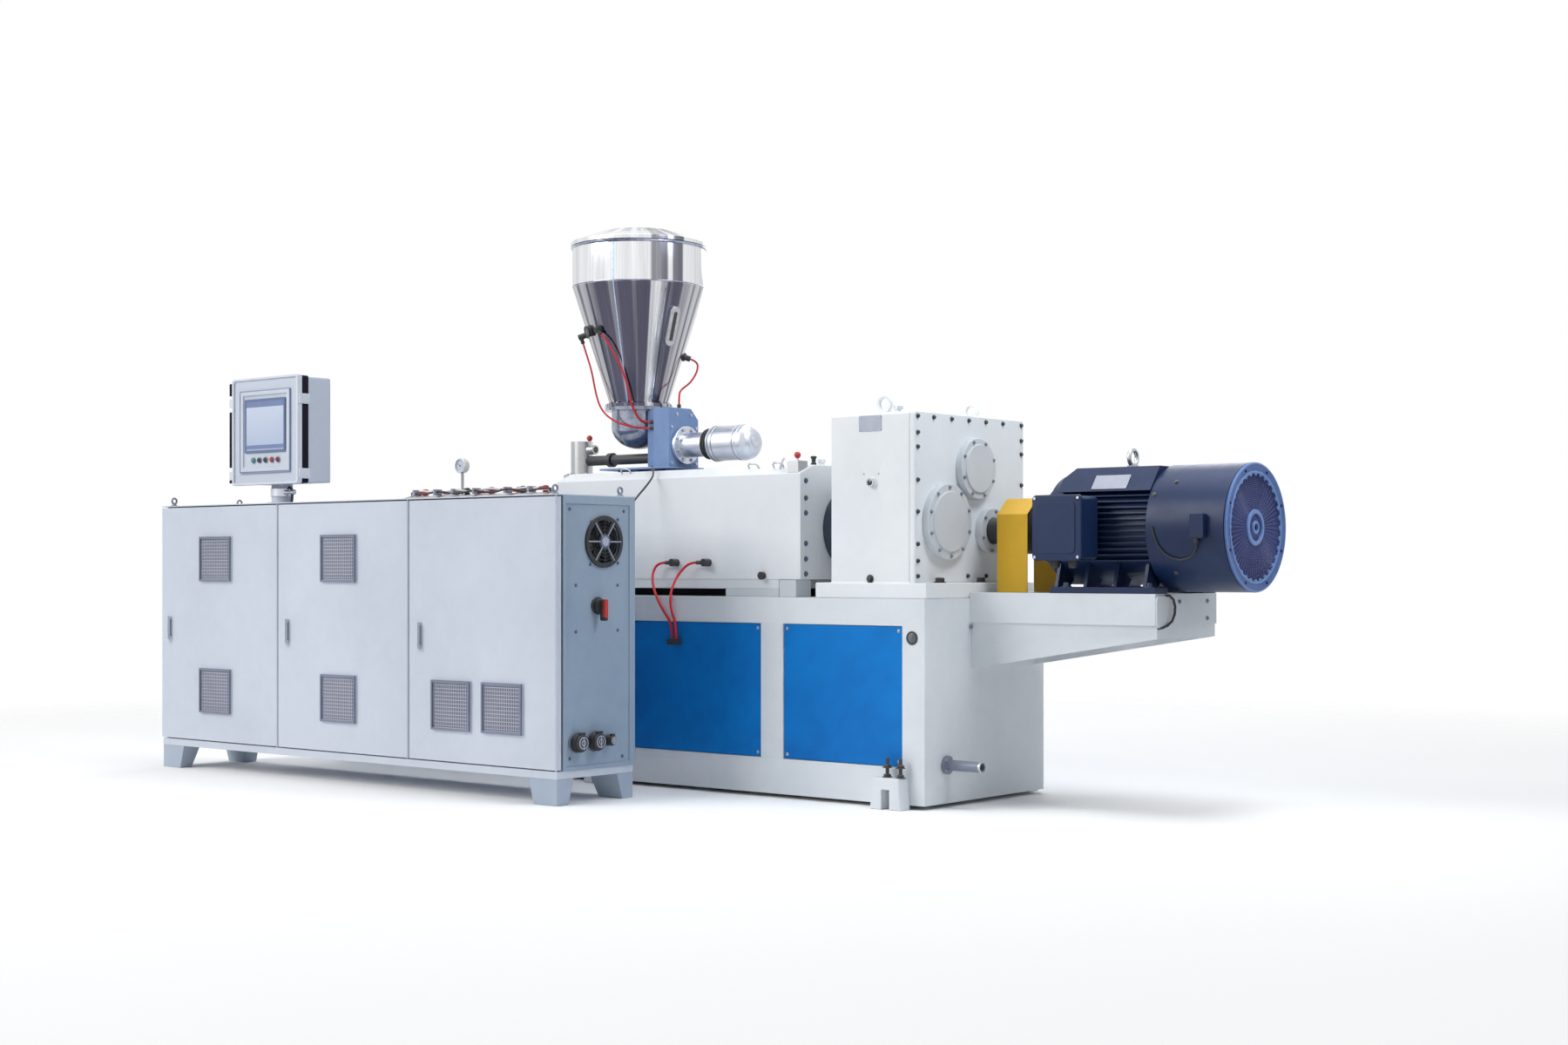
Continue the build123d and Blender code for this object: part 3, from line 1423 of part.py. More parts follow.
# Fan frame: ring and struts outside, with the shaft and the motor behind the rotor
fan_x = shell_x1 + end_panel_thickness - end_recess
fan_plane = Plane(origin=(fan_x, fan_y, fan_level), x_dir=(0, 1, 0), z_dir=(1, 0, 0))
with BuildPart() as fan_guard:
    with BuildSketch(fan_plane):
        Circle(fan_radius)
        Circle(fan_radius - fan_ring, mode=Mode.SUBTRACT)
        with PolarLocations(fan_radius / 2, fan_strut_count):
            Rectangle(fan_radius, fan_strut_width)
        Circle(fan_hub_radius)
        Circle(fan_radius, mode=Mode.INTERSECT)
    extrude(amount=fan_guard_rise)
    shaft_reach = 2 * fan_clear + fan_hub_length
    with BuildSketch(fan_plane):
        Circle(fan_shaft_radius)
    extrude(amount=-shaft_reach)
    with BuildSketch(fan_plane.offset(-shaft_reach)):
        Circle(fan_motor_radius)
    extrude(amount=-fan_motor_length)
save(fan_guard, "fan_guard")

rotor_x1 = fan_x - fan_clear
rotor_plane = Plane(origin=(rotor_x1, fan_y, fan_level), x_dir=(0, 1, 0), z_dir=(-1, 0, 0))
from_rotor = (Align.CENTER, Align.CENTER, Align.MIN)
with BuildPart() as fan_rotor:
    with Locations(rotor_plane):
        Cylinder(fan_hub_radius, fan_hub_length, align=from_rotor)
    blade_middle = middle(fan_hub_radius, fan_blade_radius)
    blade_span = fan_blade_radius - fan_hub_radius * cap_step_share
    with Locations(rotor_plane.offset(fan_hub_length / 2)):
        with PolarLocations(blade_middle, fan_blade_count):
            with Locations(Location((0, 0, 0), (fan_blade_pitch, 0, 0))):
                Box(blade_span, fan_blade_width, fan_blade_thickness)
    with Locations(rotor_plane):
        Cylinder(fan_shaft_radius + hinge_fit, fan_hub_length, align=from_rotor, mode=Mode.SUBTRACT)
save(fan_rotor, "fan_rotor")

# Main isolator: plate and boss on the end panel, with a lever that turns on them
isolator_y = end_mid_y + isolator_offset
isolator_plane = Plane(origin=(fan_x, isolator_y, isolator_level), x_dir=(0, 1, 0), z_dir=(1, 0, 0))
with BuildPart() as isolator_base:
    with BuildSketch(isolator_plane):
        Circle(isolator_radius)
    extrude(amount=isolator_plate)
    with BuildSketch(isolator_plane.offset(isolator_plate)):
        Circle(isolator_shaft_radius)
    extrude(amount=isolator_boss)
save(isolator_base, "isolator_base")

with BuildPart() as isolator_handle:
    lever_plane = isolator_plane.offset(isolator_plate + seat_gap)
    with BuildSketch(lever_plane):
        Circle(isolator_radius * cap_step_share)
    extrude(amount=isolator_boss)
    with BuildSketch(lever_plane.offset(isolator_boss)):
        with Locations((0, -isolator_lever_drop)):
            SlotOverall(isolator_lever_length, isolator_lever_width, rotation=90)
    extrude(amount=isolator_lever_height)
    with BuildSketch(lever_plane):
        Circle(isolator_shaft_radius + hinge_fit)
    extrude(amount=isolator_boss, mode=Mode.SUBTRACT)
save(isolator_handle, "isolator_handle")

# Round sockets low on the end panel
with BuildPart() as power_sockets:
    for place, radius in zip(socket_places, socket_radii):
        with BuildSketch(Plane(origin=(fan_x, end_mid_y + place, socket_level), x_dir=(0, 1, 0), z_dir=(1, 0, 0))):
            Circle(radius)
            Circle(radius * cap_step_share, mode=Mode.SUBTRACT)
        extrude(amount=socket_length)
        with BuildSketch(Plane(origin=(fan_x, end_mid_y + place, socket_level), x_dir=(0, 1, 0), z_dir=(1, 0, 0))):
            Circle(radius)
        extrude(amount=socket_length / 2)
save(power_sockets, "power_sockets")

# Post of the operator box on the cabinet's roof
hmi_x = drive_x - hmi_place
hmi_y = end_mid_y
with BuildPart() as hmi_post:
    with Locations((hmi_x, hmi_y, cabinet_top)):
        Cylinder(hmi_post_flange_radius, hmi_post_flange, align=(Align.CENTER, Align.CENTER, Align.MIN))
        Cylinder(hmi_post_radius, hmi_low - cabinet_top - seat_gap, align=(Align.CENTER, Align.CENTER, Align.MIN))
save(hmi_post, "hmi_post")

# Operator box with a rear lip and a raised frame round its screen
hmi_front = hmi_y - hmi_depth / 2
with BuildPart() as hmi_box:
    with Locations((hmi_x, hmi_y, middle(hmi_low, hmi_low + hmi_height))):
        Box(hmi_width, hmi_depth, hmi_height)
    fillet(hmi_box.edges().filter_by(Axis.Y), hmi_corner)
    frame_width = hmi_width - 2 * hmi_frame_margin
    frame_height = hmi_height - 2 * hmi_frame_margin
    with BuildSketch(Plane.XZ.offset(-hmi_front)):
        with Locations((hmi_x, hmi_low + hmi_height / 2)):
            Rectangle(frame_width, frame_height)
            Rectangle(frame_width - 2 * hmi_frame_width, frame_height - 2 * hmi_frame_width, mode=Mode.SUBTRACT)
    extrude(amount=hmi_frame_rise)
save(hmi_box, "hmi_box")

with BuildPart() as hmi_screen:
    with BuildSketch(Plane.XZ.offset(-hmi_front)):
        with Locations((hmi_x, hmi_low + hmi_height / 2 + hmi_screen_raise)):
            Rectangle(hmi_screen_width, hmi_screen_height)
    extrude(amount=hmi_screen_thickness)
save(hmi_screen, "hmi_screen")

# Glands of the cables: two beside the feeder bowl, one on the gear housing, one at the
# foot of the feeder plate and one at the back of the cabinet
side_gland_y = line_y - gear_housing_width / 2 + side_gland_inset
side_gland_x = gear_x0 - cable_gland_length
lower_gland = Vector(side_gland_x, side_gland_y, gear_housing_top - lower_gland_drop)
upper_gland = Vector(side_gland_x, side_gland_y, gear_housing_top - upper_gland_drop)
top_gland_y = line_y + gear_housing_width / 2 - top_gland_inset_y
top_gland = Vector(gear_x0 + top_gland_inset_x, top_gland_y, gear_housing_top + top_gland_length)
foot_gland_x = plate_x1 - feeder_foot_length / 2 - foot_gland_inset
foot_gland_y = line_y - feeder_plate_width / 4 - foot_gland_length
foot_gland = Vector(foot_gland_x, foot_gland_y, middle(housing_top, feeder_plate_top - feeder_plate_thickness))
rear_gland = Vector(drive_x - rear_gland_place, cabinet_rear + rear_gland_length, rear_gland_height)
foot_gland_radius = (feeder_plate_top - feeder_plate_thickness - housing_top) / 2 - seat_gap
with BuildPart() as cable_glands:
    for tip, way, length, radius in (
        (lower_gland, (-1, 0, 0), cable_gland_length, cable_gland_radius),
        (upper_gland, (-1, 0, 0), cable_gland_length, cable_gland_radius),
        (top_gland, (0, 0, 1), top_gland_length, cable_gland_radius),
        (foot_gland, (0, -1, 0), foot_gland_length, foot_gland_radius),
        (rear_gland, (0, 1, 0), rear_gland_length, cable_gland_radius),
    ):
        with BuildSketch(Plane(origin=tip, z_dir=way)):
            Circle(radius)
        extrude(amount=-length)
save(cable_glands, "cable_glands")


def run_points(start, steps, end, approach, way):
    """Corner points of a cord: steps from its start, then a straight run into its end."""
    points = [start]
    for step in steps:
        points.append(points[-1] + Vector(*step))
    points.append(end - Vector(*way) * approach)
    points.append(end)
    return points


def corner_radii(points):
    """Arc at each corner: its tangents take a fixed share of the shorter run beside it."""
    radii = []
    for before, corner, after in zip(points, points[1:], points[2:]):
        arriving = corner - before
        leaving = after - corner
        half_turn = radians(arriving.get_angle(leaving)) / 2
        shorter = min(arriving.length, leaving.length)
        radii.append(tangent_share * shorter / tan(half_turn))
    return radii


def cord(points, radius, name):
    """Round cord swept along straight runs joined by tangent arcs."""
    radii = corner_radii(points)
    with BuildPart() as tube:
        with BuildLine() as centre_line:
            FilletPolyline(*points, radius=radii)
        with BuildSketch(Plane(origin=points[0], z_dir=points[1] - points[0])):
            Circle(radius)
        sweep(path=centre_line.wires()[0])
    length = centre_line.wires()[0].length
    expected = pi * radius**2 * length
    print(name, "length", round(length), "radii", [round(value) for value in radii])
    print(name, "volume", round(tube.part.volume), "section times length", round(expected))
    save(tube, name)


left_nozzle = Vector(
    drive_x - left_fitting_place - fitting_radius - left_nozzle_length, nozzle_y, fitting_height
)
right_nozzle = Vector(
    drive_x - right_fitting_place - fitting_radius - right_nozzle_length, nozzle_y, fitting_height
)
left_hose_end = Vector(gland_x - gland_spread / 2, gland_y, gland_level)
right_hose_end = Vector(gland_x + gland_spread / 2, gland_y, gland_level)
left_plug_end = left_plug_start + left_plug_way * elbow_length
middle_plug_end = middle_plug_start + middle_plug_way * middle_elbow_length
side_plug_end = side_sensor_plane.origin + side_sensor_plane.z_dir * side_sensor_length
left_first = tuple(left_plug_way * left_cable_first)
middle_first = tuple(middle_plug_way * middle_cable_first)
side_first = tuple(side_sensor_plane.z_dir * side_cable_first)

# Hoses from the housing to the panel, sensor cables to the gear housing, and the feeder's
# cable to the cabinet
cord(
    run_points(left_nozzle, left_hose_steps, left_hose_end, hose_approach, (0, 0, -1)),
    hose_radius,
    "cooling_hose_left",
)
cord(
    run_points(right_nozzle, right_hose_steps, right_hose_end, hose_approach, (0, 0, -1)),
    hose_radius,
    "cooling_hose_right",
)
cord(
    run_points(left_plug_end, (left_first,) + left_cable_steps, lower_gland, cable_approach, (1, 0, 0)),
    cable_radius,
    "sensor_cable_left",
)
cord(
    run_points(middle_plug_end, (middle_first,) + middle_cable_steps, upper_gland, cable_approach, (1, 0, 0)),
    cable_radius,
    "sensor_cable_middle",
)
cord(
    run_points(side_plug_end, (side_first,) + side_cable_steps, top_gland, cable_approach, (0, 0, -1)),
    cable_radius,
    "sensor_cable_right",
)
cord(
    run_points(foot_gland, feeder_cable_steps, rear_gland, cable_approach, (0, -1, 0)),
    cable_radius,
    "feeder_cable",
)
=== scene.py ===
import json
import math

import bmesh
import bpy
from mathutils import Matrix, Vector

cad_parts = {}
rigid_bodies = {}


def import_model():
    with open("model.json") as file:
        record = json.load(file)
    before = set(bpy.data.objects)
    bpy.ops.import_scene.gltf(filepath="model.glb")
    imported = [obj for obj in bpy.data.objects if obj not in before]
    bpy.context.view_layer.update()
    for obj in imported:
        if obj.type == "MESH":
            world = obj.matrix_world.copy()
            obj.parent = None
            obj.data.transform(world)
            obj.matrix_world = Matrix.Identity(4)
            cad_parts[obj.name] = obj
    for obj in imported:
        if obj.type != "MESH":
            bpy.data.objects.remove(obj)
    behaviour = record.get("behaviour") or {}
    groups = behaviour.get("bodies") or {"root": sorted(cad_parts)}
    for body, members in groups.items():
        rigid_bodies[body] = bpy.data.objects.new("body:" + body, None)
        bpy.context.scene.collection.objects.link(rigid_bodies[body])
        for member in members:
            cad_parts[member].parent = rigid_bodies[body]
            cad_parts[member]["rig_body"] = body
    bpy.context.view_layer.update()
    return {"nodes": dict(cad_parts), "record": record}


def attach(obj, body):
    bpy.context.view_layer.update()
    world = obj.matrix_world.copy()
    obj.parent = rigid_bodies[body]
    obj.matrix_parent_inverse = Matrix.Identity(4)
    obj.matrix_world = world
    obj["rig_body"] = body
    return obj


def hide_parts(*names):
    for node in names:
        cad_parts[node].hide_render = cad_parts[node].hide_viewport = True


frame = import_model()
nodes = frame["nodes"]
slotOf = {part["node"]: part["material_slot"] for part in frame["record"]["subparts"]}
print("frame loaded:", len(nodes), "parts")

scene = bpy.context.scene
scene.view_settings.view_transform = "Standard"


def added(name, data):
    thing = bpy.data.objects.new(name, data)
    scene.collection.objects.link(thing)
    return thing


# camera, lamps and floor
cameraPlace = {
    "at": (5.5093, -6.0174, 0.85), "turn": 39.4, "lens": 48.07, "rise": 0.0292, "sensor": 36, "reach": 200,
}
cameraData = bpy.data.cameras.new("viewCamera")
cameraData.sensor_width = cameraPlace["sensor"]
cameraData.lens = cameraPlace["lens"]
cameraData.shift_y = cameraPlace["rise"]
cameraData.clip_end = cameraPlace["reach"]
cameraObject = added("viewCamera", cameraData)
cameraObject.location = cameraPlace["at"]
cameraObject.rotation_euler = (math.radians(90), 0, math.radians(cameraPlace["turn"]))
scene.camera = cameraObject

lampTarget = Vector((0, 0, 0.9))
studioLamps = {
    "windowLamp": {"at": (-4.5, -8.0, 6.0), "size": 6.0, "power": 690, "tint": (1.0, 0.995, 0.985)},
    "skyLamp": {"at": (0.0, 0.5, 8.5), "size": 7.0, "power": 280, "tint": (0.97, 0.98, 1.0)},
    "sideLamp": {"at": (8.5, 1.0, 4.5), "size": 4.0, "power": 34, "tint": (0.74, 0.85, 1.0)},
    "endLamp": {"at": (2.7, 0.1, 3.3), "size": 1.0, "power": 46, "tint": (0.92, 0.96, 1.0)},
    "rearLamp": {"at": (-3.0, 8.0, 5.0), "size": 5.0, "power": 190, "tint": (0.97, 0.98, 1.0)},
}
for lampName, lamp in studioLamps.items():
    lampData = bpy.data.lights.new(lampName, "AREA")
    lampData.shape = "SQUARE"
    lampData.size = lamp["size"]
    lampData.energy = lamp["power"]
    lampData.color = lamp["tint"]
    lampObject = added(lampName, lampData)
    lampObject.location = lamp["at"]
    lampObject.rotation_euler = (lampTarget - Vector(lamp["at"])).to_track_quat("-Z", "Y").to_euler()


def put(tree, kind, inputs=None, **settings):
    # one node; an input takes a value, or a socket to link from
    node = tree.nodes.new(kind)
    for key, value in settings.items():
        setattr(node, key, value)
    for key, value in (inputs or {}).items():
        if isinstance(value, bpy.types.NodeSocket):
            tree.links.new(value, node.inputs[key])
        else:
            node.inputs[key].default_value = value
    return node


def linkAll(tree, inputs, sockets):
    for label, socket in sockets.items():
        tree.links.new(socket, inputs[label])


def math3(tree, operation, first, second=0.0, third=0.0, clamp=False):
    return put(tree, "ShaderNodeMath", {0: first, 1: second, 2: third}, operation=operation,
        use_clamp=clamp).outputs[0]


def vector2(tree, operation, first, second=(0.0, 0.0, 0.0)):
    inputs = {0: first, "Scale": second} if operation == "SCALE" else {0: first, 1: second}
    node = put(tree, "ShaderNodeVectorMath", inputs, operation=operation)
    return node.outputs["Value" if operation in ("DOT_PRODUCT", "LENGTH") else 0]


def ranged(tree, value, low, high, toLow=0.0, toHigh=1.0, kind="LINEAR"):
    inputs = {"Value": value, "From Min": low, "From Max": high, "To Min": toLow, "To Max": toHigh}
    return put(tree, "ShaderNodeMapRange", inputs, interpolation_type=kind).outputs[0]


def noise(tree, coord, scale, detail, roughness=0.5):
    inputs = {"Vector": coord, "Scale": scale, "Detail": detail, "Roughness": roughness}
    return put(tree, "ShaderNodeTexNoise", inputs).outputs[0]


def parts3(tree, vector):
    return put(tree, "ShaderNodeSeparateXYZ", {0: vector}).outputs


def blendColour(tree, factor, first, second, mode="MIX"):
    inputs = {0: factor, 6: first, 7: second}
    return put(tree, "ShaderNodeMix", inputs, data_type="RGBA", blend_type=mode).outputs[2]


def objectCoord(tree):
    return put(tree, "ShaderNodeTexCoord").outputs["Object"]


world = bpy.data.worlds.new("studio")
scene.world = world
world.use_nodes = True
tree = world.node_tree
tree.nodes.clear()
roomLight = put(tree, "ShaderNodeBackground", {"Color": (0.84, 0.91, 1.0, 1), "Strength": 0.3})
backdrop = put(tree, "ShaderNodeBackground", {"Color": (1, 1, 1, 1), "Strength": 1.0})
rays = put(tree, "ShaderNodeLightPath").outputs
seen = math3(tree, "MAXIMUM", rays["Is Camera Ray"], rays["Is Glossy Ray"])
seen = math3(tree, "MAXIMUM", seen, rays["Is Transmission Ray"])
worldMix = put(tree, "ShaderNodeMixShader", {0: seen, 1: roomLight.outputs[0], 2: backdrop.outputs[0]})
put(tree, "ShaderNodeOutputWorld", {"Surface": worldMix.outputs[0]})

# the floor fades out before its edge, so that only the contact shadow is seen
floorPlan = {"reach": 20, "fadeFrom": 2.4, "fadeTo": 6.5, "colour": (0.96, 0.95, 0.935, 1), "roughness": 0.75}
floorSkin = bpy.data.materials.new("paleFloor")
floorSkin.use_nodes = True
tree = floorSkin.node_tree
tree.nodes.clear()
fade = ranged(tree, vector2(tree, "LENGTH", objectCoord(tree)), floorPlan["fadeFrom"], floorPlan["fadeTo"])
floorPaint = put(tree, "ShaderNodeBsdfPrincipled",
    {"Base Color": floorPlan["colour"], "Roughness": floorPlan["roughness"]})
floorClear = put(tree, "ShaderNodeBsdfTransparent")
floorMix = put(tree, "ShaderNodeMixShader", {0: fade, 1: floorPaint.outputs[0], 2: floorClear.outputs[0]})
put(tree, "ShaderNodeOutputMaterial", {"Surface": floorMix.outputs[0]})
floorMesh = bpy.data.meshes.new("studioFloor")
floorCorners = [(x * floorPlan["reach"], y * floorPlan["reach"], 0)
    for x, y in ((-1, -1), (1, -1), (1, 1), (-1, 1))]
floorMesh.from_pydata(floorCorners, [], [(0, 1, 2, 3)])
floorMesh.materials.append(floorSkin)
floorObject = added("studioFloor", floorMesh)
print("camera, lamps and floor placed")


def newGroup(name, inputs, outputs):
    # an input's kind follows its value: four numbers a colour, three a vector, else a plain value
    group = bpy.data.node_groups.new(name, "ShaderNodeTree")
    for label, value in inputs.items():
        size = len(value) if isinstance(value, tuple) else 1
        kind = {4: "NodeSocketColor", 3: "NodeSocketVector", 1: "NodeSocketFloat"}[size]
        group.interface.new_socket(label, in_out="INPUT", socket_type=kind).default_value = value
    for label, kind in outputs.items():
        group.interface.new_socket(label, in_out="OUTPUT", socket_type="NodeSocket" + kind)
    return group, put(group, "NodeGroupInput").outputs, put(group, "NodeGroupOutput").inputs


surfaceOutputs = {"Colour": "Color", "Roughness": "Float", "Normal": "Vector"}

# paint: broad shade, orange peel, dust on what faces up, wear along the edges
paintGroup, given, result = newGroup("shopPaint", {
    "Colour": (0.8, 0.8, 0.8, 1), "Shade": (0.7, 0.7, 0.7, 1), "Bare": (0.3, 0.3, 0.3, 1), "Roughness": 0.4,
    "Peel": 0.2, "Peel Scale": 420.0, "Wear": 0.5, "Dust": 0.3, "Edge": 0.004}, surfaceOutputs)
tree = paintGroup
coord = objectCoord(tree)
broadMask = ranged(tree, noise(tree, coord, 2.3, 4.0, 0.6), 0.38, 0.66)
cloud = noise(tree, coord, 19.0, 5.0, 0.65)
cloudMask = ranged(tree, cloud, 0.42, 0.72)
shadeAmount = math3(tree, "MULTIPLY_ADD", cloudMask, 0.25, math3(tree, "MULTIPLY", broadMask, 0.7))
painted = blendColour(tree, shadeAmount, given["Colour"], given["Shade"])
normal = put(tree, "ShaderNodeNewGeometry").outputs["Normal"]
dust = math3(tree, "MULTIPLY", ranged(tree, parts3(tree, normal)[2], 0.35, 1.0), given["Dust"])
dust = math3(tree, "MULTIPLY", dust, ranged(tree, cloud, 0.3, 0.65, 0.35), clamp=True)
dusty = blendColour(tree, dust, painted, (0.46, 0.45, 0.43, 1))
rounded = put(tree, "ShaderNodeBevel", {"Radius": given["Edge"]}, samples=4).outputs[0]
edge = math3(tree, "SUBTRACT", 1.0, vector2(tree, "DOT_PRODUCT", rounded, normal))
chipMask = ranged(tree, noise(tree, coord, 85.0, 6.0, 0.7), 0.5, 0.62)
wear = math3(tree, "MULTIPLY", ranged(tree, edge, 0.015, 0.11), chipMask)
wear = math3(tree, "MULTIPLY", wear, given["Wear"], clamp=True)
rough = math3(tree, "MULTIPLY_ADD", cloudMask, 0.08, given["Roughness"])
peel = noise(tree, coord, given["Peel Scale"], 2.0)
bump = put(tree, "ShaderNodeBump", {"Strength": given["Peel"], "Distance": 0.0006, "Height": peel})
linkAll(tree, result, {
    "Colour": blendColour(tree, wear, dusty, given["Bare"]),
    "Roughness": math3(tree, "MAXIMUM", rough, math3(tree, "MULTIPLY", dust, 0.8), clamp=True),
    "Normal": bump.outputs[0]})

# metal: fine brushing along one axis, smudges and darker marks of handling; on the polished elbow steel the
# dark patches are painted reflections
metalGroup, given, result = newGroup("turnedMetal", {
    "Colour": (0.6, 0.6, 0.6, 1), "Stain And Reflection": (0.3, 0.3, 0.3, 1), "Roughness": 0.3, "Brush": (40.0, 40.0, 900.0),
    "Depth": 0.1, "Smudge And Reflection": 0.3}, surfaceOutputs)
tree = metalGroup
coord = objectCoord(tree)
brush = noise(tree, vector2(tree, "MULTIPLY", coord, given["Brush"]), 1.0, 3.0)
smudgeAndReflectionMask = math3(tree, "MULTIPLY", ranged(tree, noise(tree, coord, 9.0, 6.0, 0.62), 0.42, 0.7),
    given["Smudge And Reflection"])
stainedAndReflected = blendColour(tree, smudgeAndReflectionMask, given["Colour"], given["Stain And Reflection"])
bump = put(tree, "ShaderNodeBump", {"Strength": given["Depth"], "Distance": 0.0003, "Height": brush})
linkAll(tree, result, {
    "Colour": blendColour(tree, 1.0, stainedAndReflected, ranged(tree, brush, 0.3, 0.7, 0.86), "MULTIPLY"),
    "Roughness": math3(tree, "MULTIPLY_ADD", smudgeAndReflectionMask, 0.25, given["Roughness"]),
    "Normal": bump.outputs[0]})

# polished shell, for painted reflections: upright streaks round a standing axis, how far a point faces one
# fixed view, and two bands that face given ways
reflectionGroup, given, result = newGroup("paintedReflectionStreaks", {
    "Centre": (0.0, 0.0, 0.0), "Turns": 3.0, "Drift": 0.25, "Low": 0.4, "High": 0.62,
    "Wide Band": (0.875, -0.485, 0.0), "Slim Band": (0.979, -0.202, 0.0)},
    {label: "Float" for label in ("Streak", "Fine", "Height", "Side", "Wide", "Slim")})
tree = reflectionGroup
fromAxis = vector2(tree, "SUBTRACT", objectCoord(tree), given["Centre"])
outward = vector2(tree, "NORMALIZE", vector2(tree, "MULTIPLY", fromAxis, (1.0, 1.0, 0.0)))
height = parts3(tree, fromAxis)[2]
drift = put(tree, "ShaderNodeCombineXYZ", {2: math3(tree, "MULTIPLY", height, given["Drift"])}).outputs[0]
streakCoord = vector2(tree, "ADD", vector2(tree, "SCALE", outward, given["Turns"]), drift)
streak = noise(tree, streakCoord, 1.0, 2.5)
# the side term follows one fixed direction of view; the hopper paints its shade and reflections by it
towardView = vector2(tree, "DOT_PRODUCT", outward, (0.6, -0.8, 0.0))
# two bands of painted reflection, each facing a given way
bands = {}
for label, rim, core in (("Wide", 0.989, 0.9945), ("Slim", 0.9935, 0.997)):
    toward = vector2(tree, "DOT_PRODUCT", outward, given[label + " Band"])
    bands[label] = ranged(tree, toward, rim, core, kind="SMOOTHSTEP")
linkAll(tree, result, {
    "Streak": ranged(tree, streak, given["Low"], given["High"], kind="SMOOTHSTEP"),
    "Fine": noise(tree, vector2(tree, "SCALE", streakCoord, 14.0), 1.0, 3.0),
    "Height": height, "Side": math3(tree, "ABSOLUTE", towardView), **bands})

finish = {}


def newMaterial(name, shader):
    material = bpy.data.materials.new(name)
    material.use_nodes = True
    material.node_tree.nodes.clear()
    surface = put(material.node_tree, "ShaderNodeBsdfPrincipled", shader)
    put(material.node_tree, "ShaderNodeOutputMaterial", {"Surface": surface.outputs[0]})
    finish[name] = material
    return material.node_tree, surface.inputs


def groupMaterial(name, group, values, shader):
    tree, surface = newMaterial(name, shader)
    mixed = put(tree, "ShaderNodeGroup", values, node_tree=group).outputs
    linkAll(tree, surface,
        {"Base Color": mixed["Colour"], "Roughness": mixed["Roughness"], "Normal": mixed["Normal"]})


def paint(name, colour, shade, bare=(0.32, 0.33, 0.34), roughness=0.38, peel=0.12, scale=420.0,
          wear=0.35, dust=0.25, coat=0.0, metallic=0.0, gloss=0.5):
    groupMaterial(name, paintGroup, {"Colour": (*colour, 1), "Shade": (*shade, 1), "Bare": (*bare, 1),
        "Roughness": roughness, "Peel": peel, "Peel Scale": scale, "Wear": wear, "Dust": dust, "Edge": 0.003},
        {"Metallic": metallic, "Coat Weight": coat, "Coat Roughness": 0.12, "Specular IOR Level": gloss})


def metal(name, colour, stainAndReflection, roughness=0.28, brush=(30.0, 30.0, 900.0), depth=0.08, smudgeAndReflection=0.3):
    groupMaterial(name, metalGroup, {
        "Colour": (*colour, 1), "Stain And Reflection": (*stainAndReflection, 1), "Roughness": roughness, "Brush": brush, "Depth": depth,
        "Smudge And Reflection": smudgeAndReflection}, {"Metallic": 1.0})


# paints and plastics: colour, its darker shade, then what differs from the usual
paint("base_cream", (0.72, 0.75, 0.78), (0.63, 0.67, 0.71), roughness=0.42, wear=0.3, dust=0.15)
paint("panel_blue", (0.0, 0.19, 0.58), (0.0, 0.125, 0.44), bare=(0.01, 0.2, 0.46), roughness=0.42, wear=0.35,
    gloss=0.18)
paint("machine_white", (0.83, 0.85, 0.87), (0.75, 0.78, 0.8), roughness=0.36, peel=0.18, wear=0.25, dust=0.15)
paint("cabinet_grey", (0.56, 0.6, 0.68), (0.5, 0.545, 0.62), roughness=0.46, peel=0.3, scale=900.0, wear=0.15,
    dust=0.1)
paint("motor_navy", (0.011, 0.028, 0.088), (0.006, 0.016, 0.056), bare=(0.09, 0.13, 0.21), roughness=0.36,
    peel=0.25, scale=260.0, wear=0.3, dust=0.0, gloss=0.28)
paint("ring_blue", (0.085, 0.17, 0.42), (0.06, 0.125, 0.33), roughness=0.42, wear=0.2, dust=0.05, gloss=0.3)
paint("guard_yellow", (0.74, 0.44, 0.022), (0.64, 0.36, 0.015), bare=(0.3, 0.24, 0.12), roughness=0.4,
    peel=0.2, wear=0.45, dust=0.1, gloss=0.35)
paint("gear_blue", (0.215, 0.325, 0.55), (0.15, 0.24, 0.44), roughness=0.4, peel=0.35, scale=240.0, wear=0.35,
    dust=0.1, gloss=0.35)
paint("flange_blue", (0.035, 0.055, 0.085), (0.025, 0.04, 0.06), bare=(0.25, 0.27, 0.3), roughness=0.36,
    peel=0.25, wear=0.5)
paint("black_steel", (0.028, 0.03, 0.034), (0.045, 0.047, 0.05), bare=(0.2, 0.2, 0.2), roughness=0.45,
    peel=0.3, wear=0.5)
paint("black_plastic", (0.018, 0.019, 0.021), (0.026, 0.027, 0.03), bare=(0.06, 0.06, 0.06), roughness=0.5,
    peel=0.35, scale=1300.0, wear=0.4)
paint("red_plastic", (0.52, 0.035, 0.02), (0.42, 0.025, 0.018), bare=(0.62, 0.14, 0.1), roughness=0.4,
    peel=0.2, scale=900.0, wear=0.25, dust=0.12)
paint("mesh_blue", (0.02, 0.026, 0.12), (0.013, 0.018, 0.085), roughness=0.5, wear=0.2, dust=0.0, gloss=0.15)
# painted shade for the cabinet's end panel: a darker, bluer copy of the cabinet grey
paint("end_grey_painted_shade", (0.3, 0.37, 0.455), (0.25, 0.325, 0.42), roughness=0.48, peel=0.3, scale=900.0, wear=0.15,
    dust=0.1, gloss=0.35)
# greyer than the machine white, to paint the half shade on the bearing caps; the bracket lip takes it too
paint("cap_grey", (0.64, 0.67, 0.7), (0.56, 0.59, 0.62), roughness=0.36, peel=0.18, wear=0.25, dust=0.15)
paint("gasket_black", (0.006, 0.005, 0.012), (0.01, 0.008, 0.018), bare=(0.03, 0.03, 0.04), roughness=0.6,
    wear=0.1, dust=0.0, gloss=0.12)
